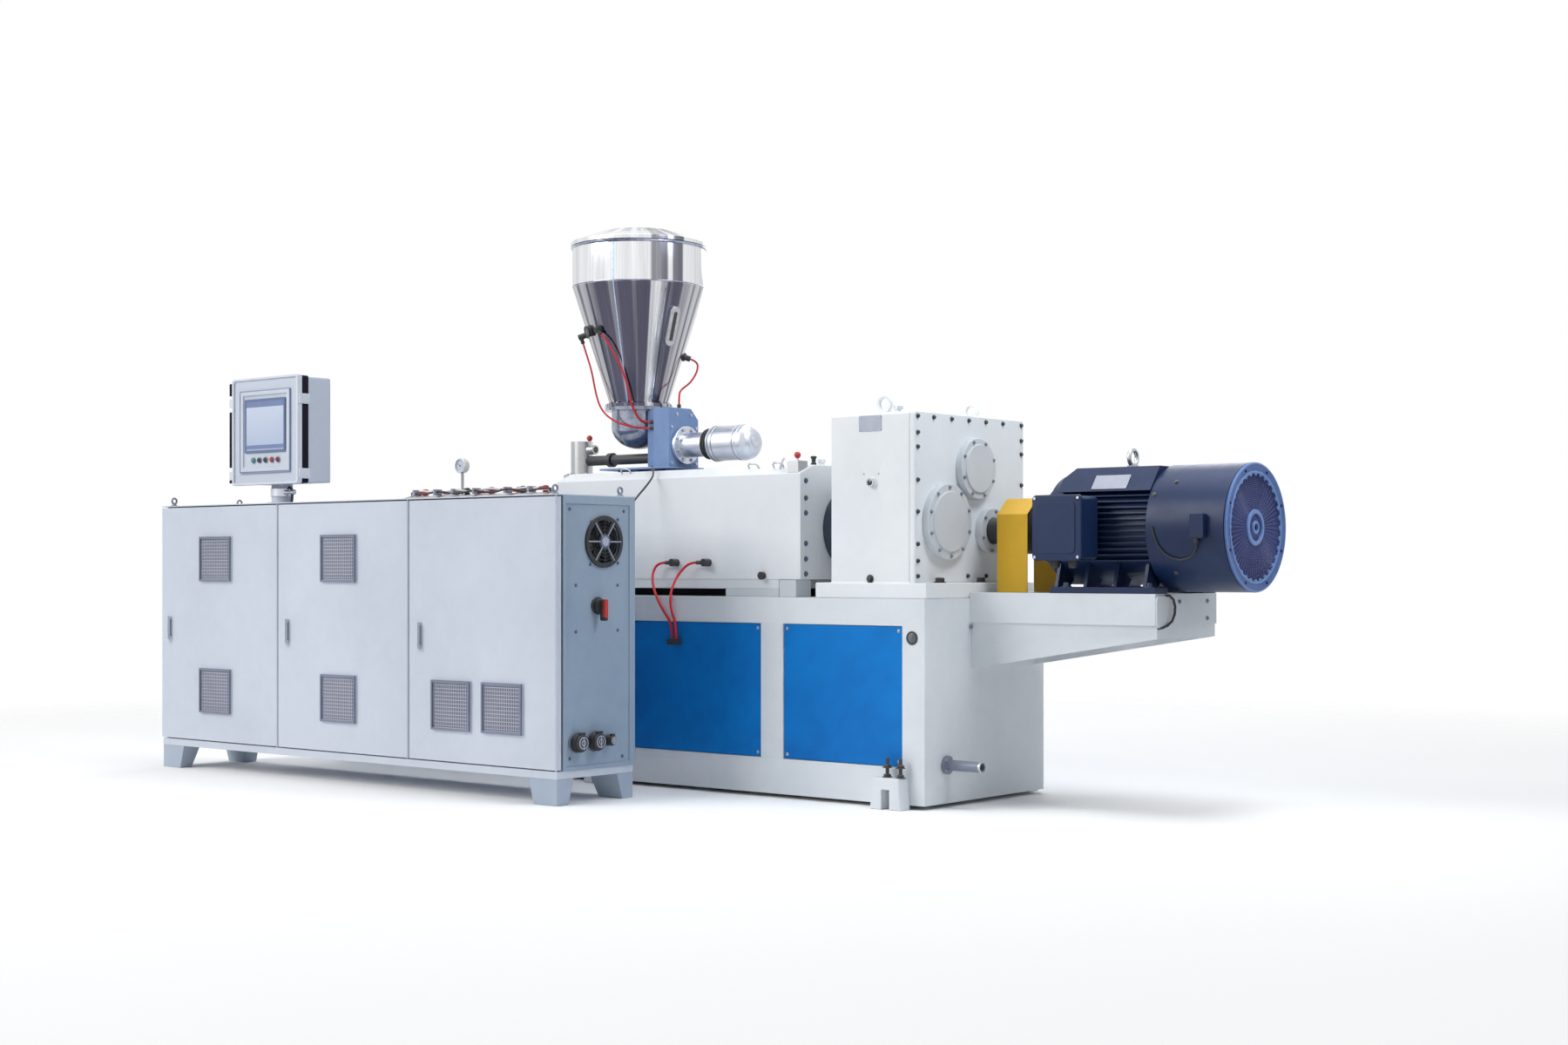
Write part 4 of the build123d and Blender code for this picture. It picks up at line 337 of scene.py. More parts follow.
# painted shade for the cabinet's feet: a darker copy of the cabinet grey, standing in for the shade under the
# cabinet
paint("plinth_grey_painted_shade", (0.4, 0.46, 0.55), (0.33, 0.39, 0.48), roughness=0.48, wear=0.2, dust=0.1, gloss=0.35)
paint("cord_red", (0.62, 0.012, 0.022), (0.5, 0.008, 0.016), bare=(0.66, 0.06, 0.06), roughness=0.42,
    peel=0.1, wear=0.1, dust=0.02, gloss=0.4)
# painted shade: the vent frames' grey is darkened to stand in for the shade along their sides
paint("vent_rim_painted_shade", (0.2, 0.225, 0.31), (0.16, 0.18, 0.25), roughness=0.5, wear=0.1, gloss=0.3)
paint("screen_bar", (0.16, 0.22, 0.4), (0.13, 0.18, 0.33), roughness=0.3, peel=0.0, wear=0.0, dust=0.0)
paint("lid_pale", (0.66, 0.69, 0.76), (0.6, 0.63, 0.7), roughness=0.42, wear=0.15, dust=0.08)
# painted shade of the recess round the operator lid's opening
paint("recess_shade_blue", (0.26, 0.32, 0.46), (0.22, 0.27, 0.4), roughness=0.42, wear=0.1, dust=0.08)
paint("ring_light", (0.2, 0.33, 0.66), (0.15, 0.26, 0.55), roughness=0.42, wear=0.2, dust=0.05, gloss=0.3)
paint("vent_dark", (0.085, 0.085, 0.12), (0.06, 0.06, 0.09), roughness=0.6, wear=0.1, gloss=0.2)
paint("vent_lavender", (0.44, 0.45, 0.54), (0.36, 0.37, 0.45), roughness=0.5, wear=0.1, gloss=0.3)
paint("latch_blue", (0.1, 0.14, 0.24), (0.07, 0.1, 0.18), roughness=0.4, wear=0.3)
paint("screen_rim", (0.12, 0.17, 0.32), (0.08, 0.12, 0.24), roughness=0.3, peel=0.05, wear=0.1)
paint("button_green", (0.02, 0.34, 0.22), (0.015, 0.25, 0.16), bare=(0.1, 0.4, 0.3), roughness=0.3, peel=0.05,
    wear=0.2)
paint("button_wine", (0.22, 0.012, 0.03), (0.16, 0.01, 0.02), bare=(0.3, 0.05, 0.05), roughness=0.3,
    peel=0.05, wear=0.2)
paint("dial_white", (0.72, 0.76, 0.82), (0.66, 0.7, 0.78), roughness=0.3, peel=0.0, wear=0.0, dust=0.05)
paint("wire_blue", (0.085, 0.115, 0.36), (0.06, 0.08, 0.27), roughness=0.4, wear=0.2)
paint("bolt_dark", (0.23, 0.26, 0.34), (0.14, 0.16, 0.22), bare=(0.42, 0.45, 0.52), roughness=0.4, wear=0.5,
    metallic=0.1)
paint("lens_dark", (0.012, 0.014, 0.018), (0.02, 0.022, 0.026), roughness=0.12, peel=0.0, wear=0.0, dust=0.05,
    coat=0.5)
paint("plate_silver", (0.36, 0.38, 0.45), (0.27, 0.29, 0.36), bare=(0.5, 0.52, 0.58), roughness=0.4,
    peel=0.05, wear=0.5, metallic=0.3)

# metals: colour, then the stain colour, which on the elbow steel is a painted reflection
metal("plain_steel", (0.52, 0.53, 0.54), (0.3, 0.29, 0.28), roughness=0.34)
metal("motor_silver", (0.64, 0.67, 0.74), (0.42, 0.45, 0.52), roughness=0.3, brush=(900.0, 40.0, 40.0),
    smudgeAndReflection=0.35)
metal("seam_blue", (0.5, 0.62, 0.86), (0.26, 0.34, 0.55), roughness=0.3, brush=(60.0, 60.0, 60.0), smudgeAndReflection=0.3)
# the elbow steel's heavy dark patches are painted reflections that give the polished steel its contrast
metal("elbow_steel", (0.42, 0.46, 0.56), (0.05, 0.05, 0.09), roughness=0.12, brush=(14.0, 14.0, 60.0),
    smudgeAndReflection=0.85)
metal("bolt_zinc", (0.48, 0.5, 0.56), (0.29, 0.3, 0.34), roughness=0.32, brush=(300.0, 300.0, 300.0),
    smudgeAndReflection=0.5)

# polished hopper steel, painted reflections and shade: bright, with upright darker streaks; painted shade
# towards the sides away from the view; dark painted reflection bands on the drum and a light one on the cone;
# the cone is darker than the drum, a painted reflection of the floor
# the values serve the hopper's fittings too
hopper = {
    "x": -0.4965, "y": 0.342, "outlet": 0.1215, "rim": 0.276, "coneLow": 1.531, "coneHigh": 2.017,
    "top": 2.184, "coneReflectionTop": (0.48, 0.488), "seam": math.radians(-69),
    "window": (math.radians(-10), 1.842), "sight": (math.radians(-114), 1.829),
}
tree, surface = newMaterial("hopper_steel", {"Metallic": 1.0})
streaks = put(tree, "ShaderNodeGroup", {
    "Centre": (hopper["x"], hopper["y"], hopper["coneLow"]), "Turns": 4.4}, node_tree=reflectionGroup).outputs
coneMask = ranged(tree, streaks["Height"], *hopper["coneReflectionTop"], 1.0, 0.0)
# the cone: painted reflection, darker where it faces the view, lighter in the wide band
facing = math3(tree, "MULTIPLY_ADD", math3(tree, "POWER", streaks["Side"], 1.6), 0.52, 0.36)
coneBase = math3(tree, "MULTIPLY_ADD", streaks["Wide"], -0.62, facing)
coneAmount = math3(tree, "MULTIPLY_ADD", streaks["Streak"], 0.55, coneBase)
# the drum: painted shade towards its sides away from the view, and dark painted reflection bands
eitherBand = math3(tree, "MAXIMUM", streaks["Wide"], streaks["Slim"])
awayShade = math3(tree, "POWER", math3(tree, "SUBTRACT", 1.0, streaks["Side"]), 1.5)
drumBase = math3(tree, "MULTIPLY_ADD", awayShade, 0.5, math3(tree, "MULTIPLY", eitherBand, 0.72))
drumAmount = math3(tree, "MULTIPLY_ADD", streaks["Streak"], 0.15, drumBase)
coneExtra = math3(tree, "SUBTRACT", coneAmount, drumAmount)
paintedReflectionAmount = math3(tree, "MULTIPLY_ADD", coneExtra, coneMask, drumAmount, clamp=True)
steelColour = blendColour(tree, paintedReflectionAmount, (0.96, 0.98, 1.0, 1), (0.105, 0.102, 0.145, 1))
fineShade = ranged(tree, streaks["Fine"], 0.3, 0.7, 0.82)
linkAll(tree, surface, {
    "Base Color": blendColour(tree, 1.0, steelColour, fineShade, "MULTIPLY"),
    "Roughness": ranged(tree, streaks["Fine"], 0.0, 1.0, 0.1, 0.2)})

# sight glass, tinted by the melt behind it
tree, surface = newMaterial("sight_green",
    {"Base Color": (0.42, 0.62, 0.1, 1), "Transmission Weight": 0.55, "IOR": 1.48})
haze = noise(tree, objectCoord(tree), 60.0, 3.0)
linkAll(tree, surface, {"Roughness": ranged(tree, haze, 0.0, 1.0, 0.06, 0.22)})

# operator screen: a dim sheen that drifts across the pane
tree, surface = newMaterial("screen_dark", {"Coat Weight": 0.6, "Coat Roughness": 0.05})
coord = objectCoord(tree)
paneRise = ranged(tree, parts3(tree, coord)[2], 1.35, 1.6)
linkAll(tree, surface, {
    "Base Color": blendColour(tree, paneRise, (0.4, 0.47, 0.63, 1), (0.6, 0.66, 0.78, 1)),
    "Roughness": ranged(tree, noise(tree, coord, 14.0, 2.0), 0.0, 1.0, 0.14, 0.24)})
print("finishes mixed:", len(finish))

right, left = (1, 0, 0), (-1, 0, 0)
front, back = (0, -1, 0), (0, 1, 0)
upward, downward = (0, 0, 1), (0, 0, -1)


def aimed(point, axis):
    # matrix that stands at a point with its Z along the axis
    return Matrix.Translation(Vector(point)) @ Vector(axis).to_track_quat("Z", "Y").to_matrix().to_4x4()


def circled(bm, matrix, radius, along, sides):
    turns = [math.tau * step / sides for step in range(sides)]
    return [bm.verts.new(matrix @ Vector((radius * math.cos(turn), radius * math.sin(turn), along)))
        for turn in turns]


def bridged(bm, first, second):
    # faces between two loops of points, where a loop of one point is a pole
    count = max(len(first), len(second))
    for index in range(count if len(first) + len(second) > 2 else 0):
        following = (index + 1) % count
        if len(first) == 1:
            bm.faces.new((first[0], second[index], second[following]))
        elif len(second) == 1:
            bm.faces.new((first[index], second[0], first[following]))
        else:
            bm.faces.new((first[index], second[index], second[following], first[following]))


def block(bm, low, high):
    corners = [bm.verts.new((x, y, z)) for x in (low[0], high[0]) for y in (low[1], high[1])
        for z in (low[2], high[2])]
    for face in ((0, 1, 3, 2), (4, 6, 7, 5), (0, 4, 5, 1), (2, 3, 7, 6), (0, 2, 6, 4), (1, 5, 7, 3)):
        bm.faces.new([corners[index] for index in face])


def turned(bm, base, axis, profile, sides, closed=False):
    # a lathe: profile is (along the axis, radius); a radius of 0 is a pole
    matrix = aimed(base, axis)
    loops = [circled(bm, matrix, radius, along, sides if radius else 1) for along, radius in profile]
    for first, second in list(zip(loops, loops[1:])) + ([(loops[-1], loops[0])] if closed else []):
        bridged(bm, first, second)
    for loop in () if closed else (loops[0], loops[-1]):
        if len(loop) > 1:
            bm.faces.new(loop)


def rod(bm, base, axis, radius, length, sides, chamfer):
    slim = radius - chamfer
    turned(bm, base, axis, [(0, slim), (chamfer, radius), (length - chamfer, radius), (length, slim)], sides)


def ring(bm, base, axis, outer, inner, thick, sides, chamfer):
    slim = outer - chamfer
    profile = [(0, inner), (0, slim), (chamfer, outer), (thick - chamfer, outer), (thick, slim),
        (thick, inner)]
    turned(bm, base, axis, profile, sides, closed=True)


def outlined(bm, outline, axis, level):
    # a flat loop at a level of the x, y or z axis
    where = "xyz".index(axis)
    return [bm.verts.new((*pair[:where], level, *pair[where:])) for pair in outline]


def capped(bm, near, far):
    bm.faces.new(near)
    bm.faces.new(far)
    bridged(bm, near, far)


def slab(bm, outline, axis, start, depth):
    capped(bm, outlined(bm, outline, axis, start), outlined(bm, outline, axis, start + depth))


def roundedOutline(centre, width, height, radius, steps=6):
    points = []
    for corner, (sx, sy) in enumerate(((1, 1), (-1, 1), (-1, -1), (1, -1))):
        for step in range(steps + 1):
            angle = math.radians(90 * corner + 90 * step / steps)
            points.append((centre[0] + sx * (width / 2 - radius) + radius * math.cos(angle),
                           centre[1] + sy * (height / 2 - radius) + radius * math.sin(angle)))
    return points


def frameRing(bm, centre, outerSize, innerSize, radius, axis, start, depth):
    # a flat frame: a rounded outline with a rounded opening
    outline = roundedOutline(centre, *outerSize, radius, 4)
    opening = roundedOutline(centre, *innerSize, max(radius * 0.6, 0.001), 4)
    loops = [outlined(bm, pairs, axis, level) for pairs, level in (
        (outline, start), (outline, start + depth), (opening, start + depth), (opening, start))]
    for first, second in zip(loops, loops[1:] + loops[:1]):
        bridged(bm, first, second)


def tiltedSlab(bm, middle, width, height, thick, normal, radius=0.003):
    # a thin rounded plate with its face along a normal, its width level
    normal = Vector(normal).normalized()
    level = Vector(upward).cross(normal).normalized()
    rise = normal.cross(level)
    outline = roundedOutline((0, 0), width, height, radius, 3)
    capped(bm, *([bm.verts.new(Vector(middle) + level * a + rise * b + normal * depth) for a, b in outline]
                 for depth in (0.0, thick)))


def bentBar(bm, points, radius, sides):
    # a round bar through points, square ended
    points = [Vector(point) for point in points]
    loops = []
    for before, point, after in zip(points[:1] + points, points, points[1:] + points[-1:]):
        loops.append(circled(bm, aimed(point, after - before), radius, 0, sides))
    # each loop is lined up with the one before it
    for index in range(1, len(loops)):
        start = loops[index - 1][0].co
        nearest = min(range(sides), key=lambda step: (loops[index][step].co - start).length)
        loops[index] = loops[index][nearest:] + loops[index][:nearest]
    for first, second in zip(loops, loops[1:]):
        bridged(bm, first, second)
    bm.faces.new(loops[0])
    bm.faces.new(loops[-1])


def outBar(bm, hub, turn, near, far, radius, sides):
    # a thin bar that runs out from a hub, across the machine
    along = Vector((0, math.cos(turn), math.sin(turn)))
    bentBar(bm, [hub + along * near, hub + along * far], radius, sides)


def dress(name, mesh, skin, body, bevel=0.0, segments=2, smooth=32, standsFor=()):
    mesh.shade_smooth()
    mesh.set_sharp_from_angle(angle=math.radians(smooth))
    mesh.materials.clear()
    mesh.materials.append(finish[skin])
    made = added(name, mesh)
    if bevel:
        rounding = made.modifiers.new("softEdge", "BEVEL")
        rounding.width = bevel
        rounding.segments = segments
        rounding.limit_method = "ANGLE"
        rounding.angle_limit = math.radians(smooth)
        rounding.harden_normals = True
        rounding.use_clamp_overlap = True
    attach(made, body)
    if standsFor:
        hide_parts(*standsFor)


def piece(name, bm, skin, body="machine", weld=True, **settings):
    if weld:
        bmesh.ops.remove_doubles(bm, verts=bm.verts, dist=0.00002)
    bmesh.ops.recalc_face_normals(bm, faces=bm.faces)
    mesh = bpy.data.meshes.new(name)
    bm.to_mesh(mesh)
    bm.free()
    dress(name, mesh, skin, body, **settings)


def solid(name, skin, *steps, **settings):
    # one piece from its steps, each a maker with its values
    bm = bmesh.new()
    for maker, *values in steps:
        maker(bm, *values)
    piece(name, bm, skin, **settings)


def softened(nodeName, bevel, segments, skin):
    # a merged copy of a part, with its sharp edges rounded
    bm = bmesh.new()
    bm.from_mesh(nodes[nodeName].data)
    bmesh.ops.remove_doubles(bm, verts=bm.verts, dist=0.00003)
    bmesh.ops.dissolve_limit(bm, angle_limit=math.radians(0.6), verts=bm.verts, edges=bm.edges)
    mesh = bpy.data.meshes.new(nodeName + "Skin")
    bm.to_mesh(mesh)
    bm.free()
    dress(nodeName + "Skin", mesh, skin, nodes[nodeName]["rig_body"], bevel, segments, standsFor=(nodeName,))


# cords: the corner points of the part's own cords, in metres
cordRoutes = {
    "cooling_hose_left": {"skin": "red_plastic", "diameter": 0.01, "length": 0.414, "stiffness": "medium",
        "points": [(-0.0575, 0.03, 0.872), (-0.0955, 0.03, 0.872), (-0.1165, 0.02, 0.84),
        (-0.0905, -0.013, 0.798), (-0.0285, -0.059, 0.744), (0.0155, -0.063, 0.685),
        (0.0565, -0.057, 0.632), (0.0565, -0.057, 0.58)]},
    "cooling_hose_right": {"skin": "red_plastic", "diameter": 0.01, "length": 0.378, "stiffness": "medium",
        "points": [(0.1045, 0.03, 0.872), (0.0655, 0.03, 0.872), (0.0275, 0.017, 0.834),
        (0.0255, -0.013, 0.795), (0.0455, -0.059, 0.745), (0.0575, -0.065, 0.69), (0.0765, -0.057, 0.632),
        (0.0765, -0.057, 0.58)]},
    "sensor_cable_left": {"skin": "red_plastic", "diameter": 0.008, "length": 0.576, "stiffness": "limp",
        "points": [(-0.704, 0.2222, 1.7901), (-0.6921, 0.229, 1.7472), (-0.6391, 0.208, 1.6692),
        (-0.6061, 0.198, 1.5712), (-0.5661, 0.19, 1.5012), (-0.4961, 0.194, 1.4532),
        (-0.4221, 0.22, 1.4292), (-0.3985, 0.264, 1.425), (-0.3565, 0.264, 1.425)]},
    "sensor_cable_middle": {"skin": "red_plastic", "diameter": 0.008, "length": 0.449, "stiffness": "limp",
        "points": [(-0.4977, 0.1172, 1.8072), (-0.4717, 0.1227, 1.783), (-0.4457, 0.1397, 1.726),
        (-0.4317, 0.1737, 1.666), (-0.4257, 0.1997, 1.593), (-0.4177, 0.2097, 1.526),
        (-0.4087, 0.2337, 1.476), (-0.3985, 0.264, 1.45), (-0.3565, 0.264, 1.45)]},
    "sensor_cable_right": {"skin": "red_plastic", "diameter": 0.008, "length": 0.282, "stiffness": "limp",
        "points": [(-0.34, 0.4879, 1.7229), (-0.3163, 0.51, 1.7126), (-0.3103, 0.498, 1.6686),
        (-0.3143, 0.46, 1.6206), (-0.3203, 0.41, 1.5906), (-0.2975, 0.371, 1.567),
        (-0.2975, 0.371, 1.525)]},
    "feeder_cable": {"skin": "black_plastic", "diameter": 0.008, "length": 0.776, "stiffness": "limp",
        "points": [(-0.3005, 0.275, 1.248), (-0.3005, 0.212, 1.248), (-0.2405, 0.149, 1.254),
        (-0.1805, 0.089, 1.246), (-0.1285, 0.036, 1.216), (-0.1225, -0.006, 1.178), (-0.1385, -0.048, 1.13),
        (-0.1325, -0.108, 1.078), (-0.1125, -0.181, 1.034), (-0.0825, -0.251, 1.008),
        (-0.0605, -0.302, 1.0), (-0.0605, -0.344, 1.0)]},
}
for cordName, route in cordRoutes.items():
    curve = bpy.data.curves.new(cordName + "Line", "CURVE")
    curve.dimensions = "3D"
    spline = curve.splines.new("NURBS")
    spline.points.add(len(route["points"]) - 1)
    for point, place in zip(spline.points, route["points"]):
        point.co = (*place, 1.0)
    spline.order_u = 3
    spline.use_endpoint_u = True
    spline.resolution_u = 12
    curve.bevel_depth = route["diameter"] / 2
    curve.bevel_resolution = 4
    curve.use_fill_caps = True
    curve.materials.append(finish["cord_red" if route["skin"] == "red_plastic" else route["skin"]])
    cordObject = added(cordName + "Line", curve)
    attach(cordObject, "machine")
    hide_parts(cordName)
print("cords laid:", len(cordRoutes))

# every part whose shape is right gets softened edges, 3 steps on the large ones
edgeWidths = {
    0.012: "gearbox_housing", 0.01: "drive_housing", 0.006: "barrel_cover hmi_box",
    0.005: "motor_terminal_box feed_block feeder_gear_housing",
    0.004: "base_frame base_feet motor_bracket gearbox_end_cover motor_fan_cowl",
    0.003: "bearing_caps coupling_guard output_flange barrel feeder_motor cabinet_feet isolator_base "
           "hmi_post machine_supports",
    0.0025: "door_1 door_2 door_3",
    0.002: "base_panels drive_coupling motor_lifting_eye drop_tube feeder_plate feeder_bowl hopper_lid "
           "hopper_window valve_block cabinet_shell isolator_handle",
    0.0016: "motor_frame", 0.0012: "pipe_stub",
    0.001: "drop_sight_glass feeder_tube hopper_shell level_sensors cable_glands hose_fittings fan_rotor "
           "hmi_screen",
}
widthOf = {name: width for width, names in edgeWidths.items() for name in names.split()}
otherSkins = {
    "cabinet_end_panel": "end_grey_painted_shade", "cabinet_feet": "plinth_grey_painted_shade", "feeder_bowl": "elbow_steel",
    "pipe_stub": "bolt_dark", "valve_block": "plain_steel", "feeder_plate": "gear_blue",
    "isolator_handle": "black_plastic", "bearing_caps": "cap_grey",
}
for nodeName in sorted(set(nodes) - set(cordRoutes) - {"motor_cowl_grille"}):
    width = widthOf.get(nodeName, 0.0015)
    softened(nodeName, width, 3 if width > 0.006 else 2, otherSkins.get(nodeName, slotOf[nodeName]))
print("parts dressed")


# geometry trees: each takes holder points with an aim, and gives finished solids
def growthTree(name, inputs):
    group = bpy.data.node_groups.new(name, "GeometryNodeTree")
    group.interface.new_socket("Holder", in_out="INPUT", socket_type="NodeSocketGeometry")
    for label, value in inputs.items():
        kind = {int: "NodeSocketInt", float: "NodeSocketFloat", tuple: "NodeSocketVector"}[type(value)]
        group.interface.new_socket(label, in_out="INPUT", socket_type=kind).default_value = value
    group.interface.new_socket("Skin", in_out="INPUT", socket_type="NodeSocketMaterial")
    group.interface.new_socket("Solids", in_out="OUTPUT", socket_type="NodeSocketGeometry")
    return group, put(group, "NodeGroupInput").outputs


def joined(tree, *parts):
    join = put(tree, "GeometryNodeJoinGeometry")
    for part in parts:
        tree.links.new(part, join.inputs[0])
    return join.outputs[0]


def lifted(tree, solids, height):
    offset = put(tree, "ShaderNodeCombineXYZ", {2: height}).outputs[0]
    return put(tree, "GeometryNodeTransform",
        {"Geometry": solids.outputs[0], "Translation": offset}).outputs[0]


def closeTree(tree, given, solids, spin=None):
    # stand the solids on the holder points, along their aim
    aim = put(tree, "GeometryNodeInputNamedAttribute", {"Name": "aim"}, data_type="FLOAT_VECTOR")
    turn = put(tree, "FunctionNodeAlignRotationToVector", {"Vector": aim.outputs[0]}, axis="Z").outputs[0]
    if spin:
        angle = put(tree, "FunctionNodeRandomValue", {"Max": 6.283, "Seed": spin}, data_type="FLOAT")
        twist = put(tree, "FunctionNodeAxisAngleToRotation", {"Axis": upward, "Angle": angle.outputs[1]})
        turn = put(tree, "FunctionNodeRotateRotation", {0: turn, 1: twist.outputs[0]},
            rotation_space="LOCAL").outputs[0]
    placed = put(tree, "GeometryNodeInstanceOnPoints",
        {"Points": given["Holder"], "Instance": solids, "Rotation": turn})
    whole = put(tree, "GeometryNodeRealizeInstances", {"Geometry": placed.outputs[0]})
    skinned = put(tree, "GeometryNodeSetMaterial", {"Geometry": whole.outputs[0], "Material": given["Skin"]})
    put(tree, "NodeGroupOutput", {0: skinned.outputs[0]})


# screw heads: washer, head with a number of sides, and a chamfered crown
tree, given = growthTree("screwHeads",
    {"Radius": 0.008, "Height": 0.008, "Sides": 6, "Washer": 1.4, "Seed": 3})
screwTree = tree
radius, height, sides = given["Radius"], given["Height"], given["Sides"]
washer = put(tree, "GeometryNodeMeshCylinder", {
    "Vertices": 20, "Radius": math3(tree, "MULTIPLY", radius, given["Washer"]),
    "Depth": math3(tree, "MULTIPLY", height, 0.2)})
head = put(tree, "GeometryNodeMeshCylinder", {
    "Vertices": sides, "Radius": radius, "Depth": math3(tree, "MULTIPLY", height, 0.62)})
crown = put(tree, "GeometryNodeMeshCone", {
    "Vertices": sides, "Radius Top": math3(tree, "MULTIPLY", radius, 0.8), "Radius Bottom": radius,
    "Depth": math3(tree, "MULTIPLY", height, 0.18)})
levels = ((washer, 0.1), (head, 0.51), (crown, 0.82))
stack = [lifted(tree, solids, math3(tree, "MULTIPLY", height, share)) for solids, share in levels]
closeTree(tree, given, joined(tree, *stack), given["Seed"])

# slats: a row of thin tilted blades about each holder point
tree, given = growthTree("slatRow",
    {"Count": 9, "Pitch": (0, 0, 0.01), "Blade": (0.1, 0.002, 0.004), "Tilt": (0, 0, 0)})
slatTree = tree
blade = put(tree, "GeometryNodeMeshCube", {"Size": given["Blade"]})
rowStart = vector2(tree, "SCALE", given["Pitch"], math3(tree, "MULTIPLY_ADD", given["Count"], -0.5, 0.5))
row = put(tree, "GeometryNodeMeshLine",
    {"Count": given["Count"], "Start Location": rowStart, "Offset": given["Pitch"]})
tilt = put(tree, "FunctionNodeEulerToRotation", {0: given["Tilt"]})
slats = put(tree, "GeometryNodeInstanceOnPoints", {
    "Points": row.outputs[0], "Instance": blade.outputs[0], "Rotation": tilt.outputs[0]})
closeTree(tree, given, slats.outputs[0])

# wire guard: rings and spokes of round wire in one plane
tree, given = growthTree("wireGuard", {
    "Rings": 8, "Spokes": 12, "Inner": 0.03, "Outer": 0.1, "Wire": 0.001, "Facets": 48})
wireTree = tree
inner, outer = given["Inner"], given["Outer"]
unitRing = put(tree, "GeometryNodeCurvePrimitiveCircle", {"Resolution": given["Facets"], "Radius": 1.0})
rings = put(tree, "GeometryNodeDuplicateElements", {
    "Geometry": unitRing.outputs[0], "Amount": given["Rings"]}, domain="SPLINE").outputs
share = math3(tree, "DIVIDE", rings[1], math3(tree, "SUBTRACT", given["Rings"], 1.0))
reach = math3(tree, "MULTIPLY_ADD", share, math3(tree, "SUBTRACT", outer, inner), inner)
place = put(tree, "GeometryNodeInputPosition").outputs[0]
ringWires = put(tree, "GeometryNodeSetPosition", {
    "Geometry": rings[0], "Position": vector2(tree, "SCALE", place, reach)})
ends = [put(tree, "ShaderNodeCombineXYZ", {0: value}).outputs[0] for value in (inner, outer)]
spoke = put(tree, "GeometryNodeCurvePrimitiveLine", {"Start": ends[0], "End": ends[1]})
spokes = put(tree, "GeometryNodeDuplicateElements", {
    "Geometry": spoke.outputs[0], "Amount": given["Spokes"]}, domain="SPLINE").outputs
spokeTurn = math3(tree, "DIVIDE", math3(tree, "MULTIPLY", spokes[1], math.tau), given["Spokes"])
spokePlace = put(tree, "ShaderNodeVectorRotate", {"Vector": place, "Axis": upward, "Angle": spokeTurn})
spokeWires = put(tree, "GeometryNodeSetPosition", {"Geometry": spokes[0], "Position": spokePlace.outputs[0]})
section = put(tree, "GeometryNodeCurvePrimitiveCircle", {"Resolution": 6, "Radius": given["Wire"]})
wires = put(tree, "GeometryNodeCurveToMesh", {
    "Curve": joined(tree, ringWires.outputs[0], spokeWires.outputs[0]), "Profile Curve": section.outputs[0],
    "Fill Caps": True})
closeTree(tree, given, wires.outputs[0])
print("geometry trees built: 3")


def grown(name, tree, holders, values, skin, body="machine", smooth=32):
    # holders: (place, aim) pairs; the result is a plain mesh
    holder = bpy.data.meshes.new(name + "Holder")
    holder.from_pydata([place for place, aim in holders], [], [])
    aims = holder.attributes.new("aim", "FLOAT_VECTOR", "POINT")
    for index, (place, aim) in enumerate(holders):
        aims.data[index].vector = aim
    keeper = added(name + "Holder", holder)
    growth = keeper.modifiers.new("growth", "NODES")
    growth.node_group = tree
    values = {**values, "Skin": finish[skin]}
    for item in tree.interface.items_tree:
        if item.in_out == "INPUT" and item.name in values:
            growth[item.identifier] = values[item.name]
    bpy.context.view_layer.update()
    mesh = bpy.data.meshes.new_from_object(keeper.evaluated_get(bpy.context.evaluated_depsgraph_get()))
    bpy.data.objects.remove(keeper)
    dress(name, mesh, skin, body, smooth=smooth)


def screws(name, places, aim, size, skin, body="machine"):
    # size: radius, height, sides and the washer's reach as a share; without an aim, each place has its own
    holders = [(place, aim) for place in places] if aim else places
    grown(name, screwTree, holders, dict(zip(("Radius", "Height", "Sides", "Washer"), size)), skin, body)


def onCircle(centre, radius, count, start=0.0):
    # places round a circle in an upright plane across the machine
    x, y, z = centre
    turns = [start + math.tau * step / count for step in range(count)]
    return [(x, y + radius * math.cos(turn), z + radius * math.sin(turn)) for turn in turns]


def onLevelCircle(centre, radius, turns):
    x, y, z = centre
    return [(x + radius * math.cos(turn), y + radius * math.sin(turn), z) for turn in turns]


# gearbox: cover and cap screws, foot bolts, rating plate, sight lens, plug and breather
gearbox = {
    "coverFace": 1.1715, "capFace": 1.1995, "front": -0.0105, "top": 1.408,
    "rowY": (0.008, 0.106, 0.218, 0.327, 0.438, 0.551, 0.676),
    "columnZ": (1.332, 1.281, 1.164, 1.051, 0.936, 0.876, 0.822), "rowHigh": 1.39,
    "lowY": (0.32, 0.44, 0.551),
    "caps": ((0.171, 1.017, 0.124, 10), (0.354, 1.214, 0.101, 8), (0.452, 0.988, 0.074, 6)),
    "footBolts": ((1.203, 0.1), (1.203, 0.36), (1.203, 0.6), (0.768, 0.1), (0.768, 0.36), (0.768, 0.6)),
    "footTop": 0.798, "plate": (0.9255, 1.341, 1.0275, 1.399), "lens": (0.9845, 1.158),
    "plug": (0.9765, 0.812), "breather": (1.0455, 0.067),
}
gearFront = gearbox["front"]
coverScrews = [(gearbox["coverFace"], y, gearbox["rowHigh"]) for y in gearbox["rowY"]]
coverScrews += [(gearbox["coverFace"], y, z) for y in (gearbox["rowY"][0], gearbox["rowY"][-1])
    for z in gearbox["columnZ"]]
coverScrews += [(gearbox["coverFace"], y, gearbox["columnZ"][-1]) for y in gearbox["lowY"]]
screws("gearboxCoverScrews", coverScrews, right, (0.0068, 0.008, 12, 1.25), "black_steel")
capScrews = [place for y, z, reach, count in gearbox["caps"]
    for place in onCircle((gearbox["capFace"], y, z), reach, count, 0.35)]
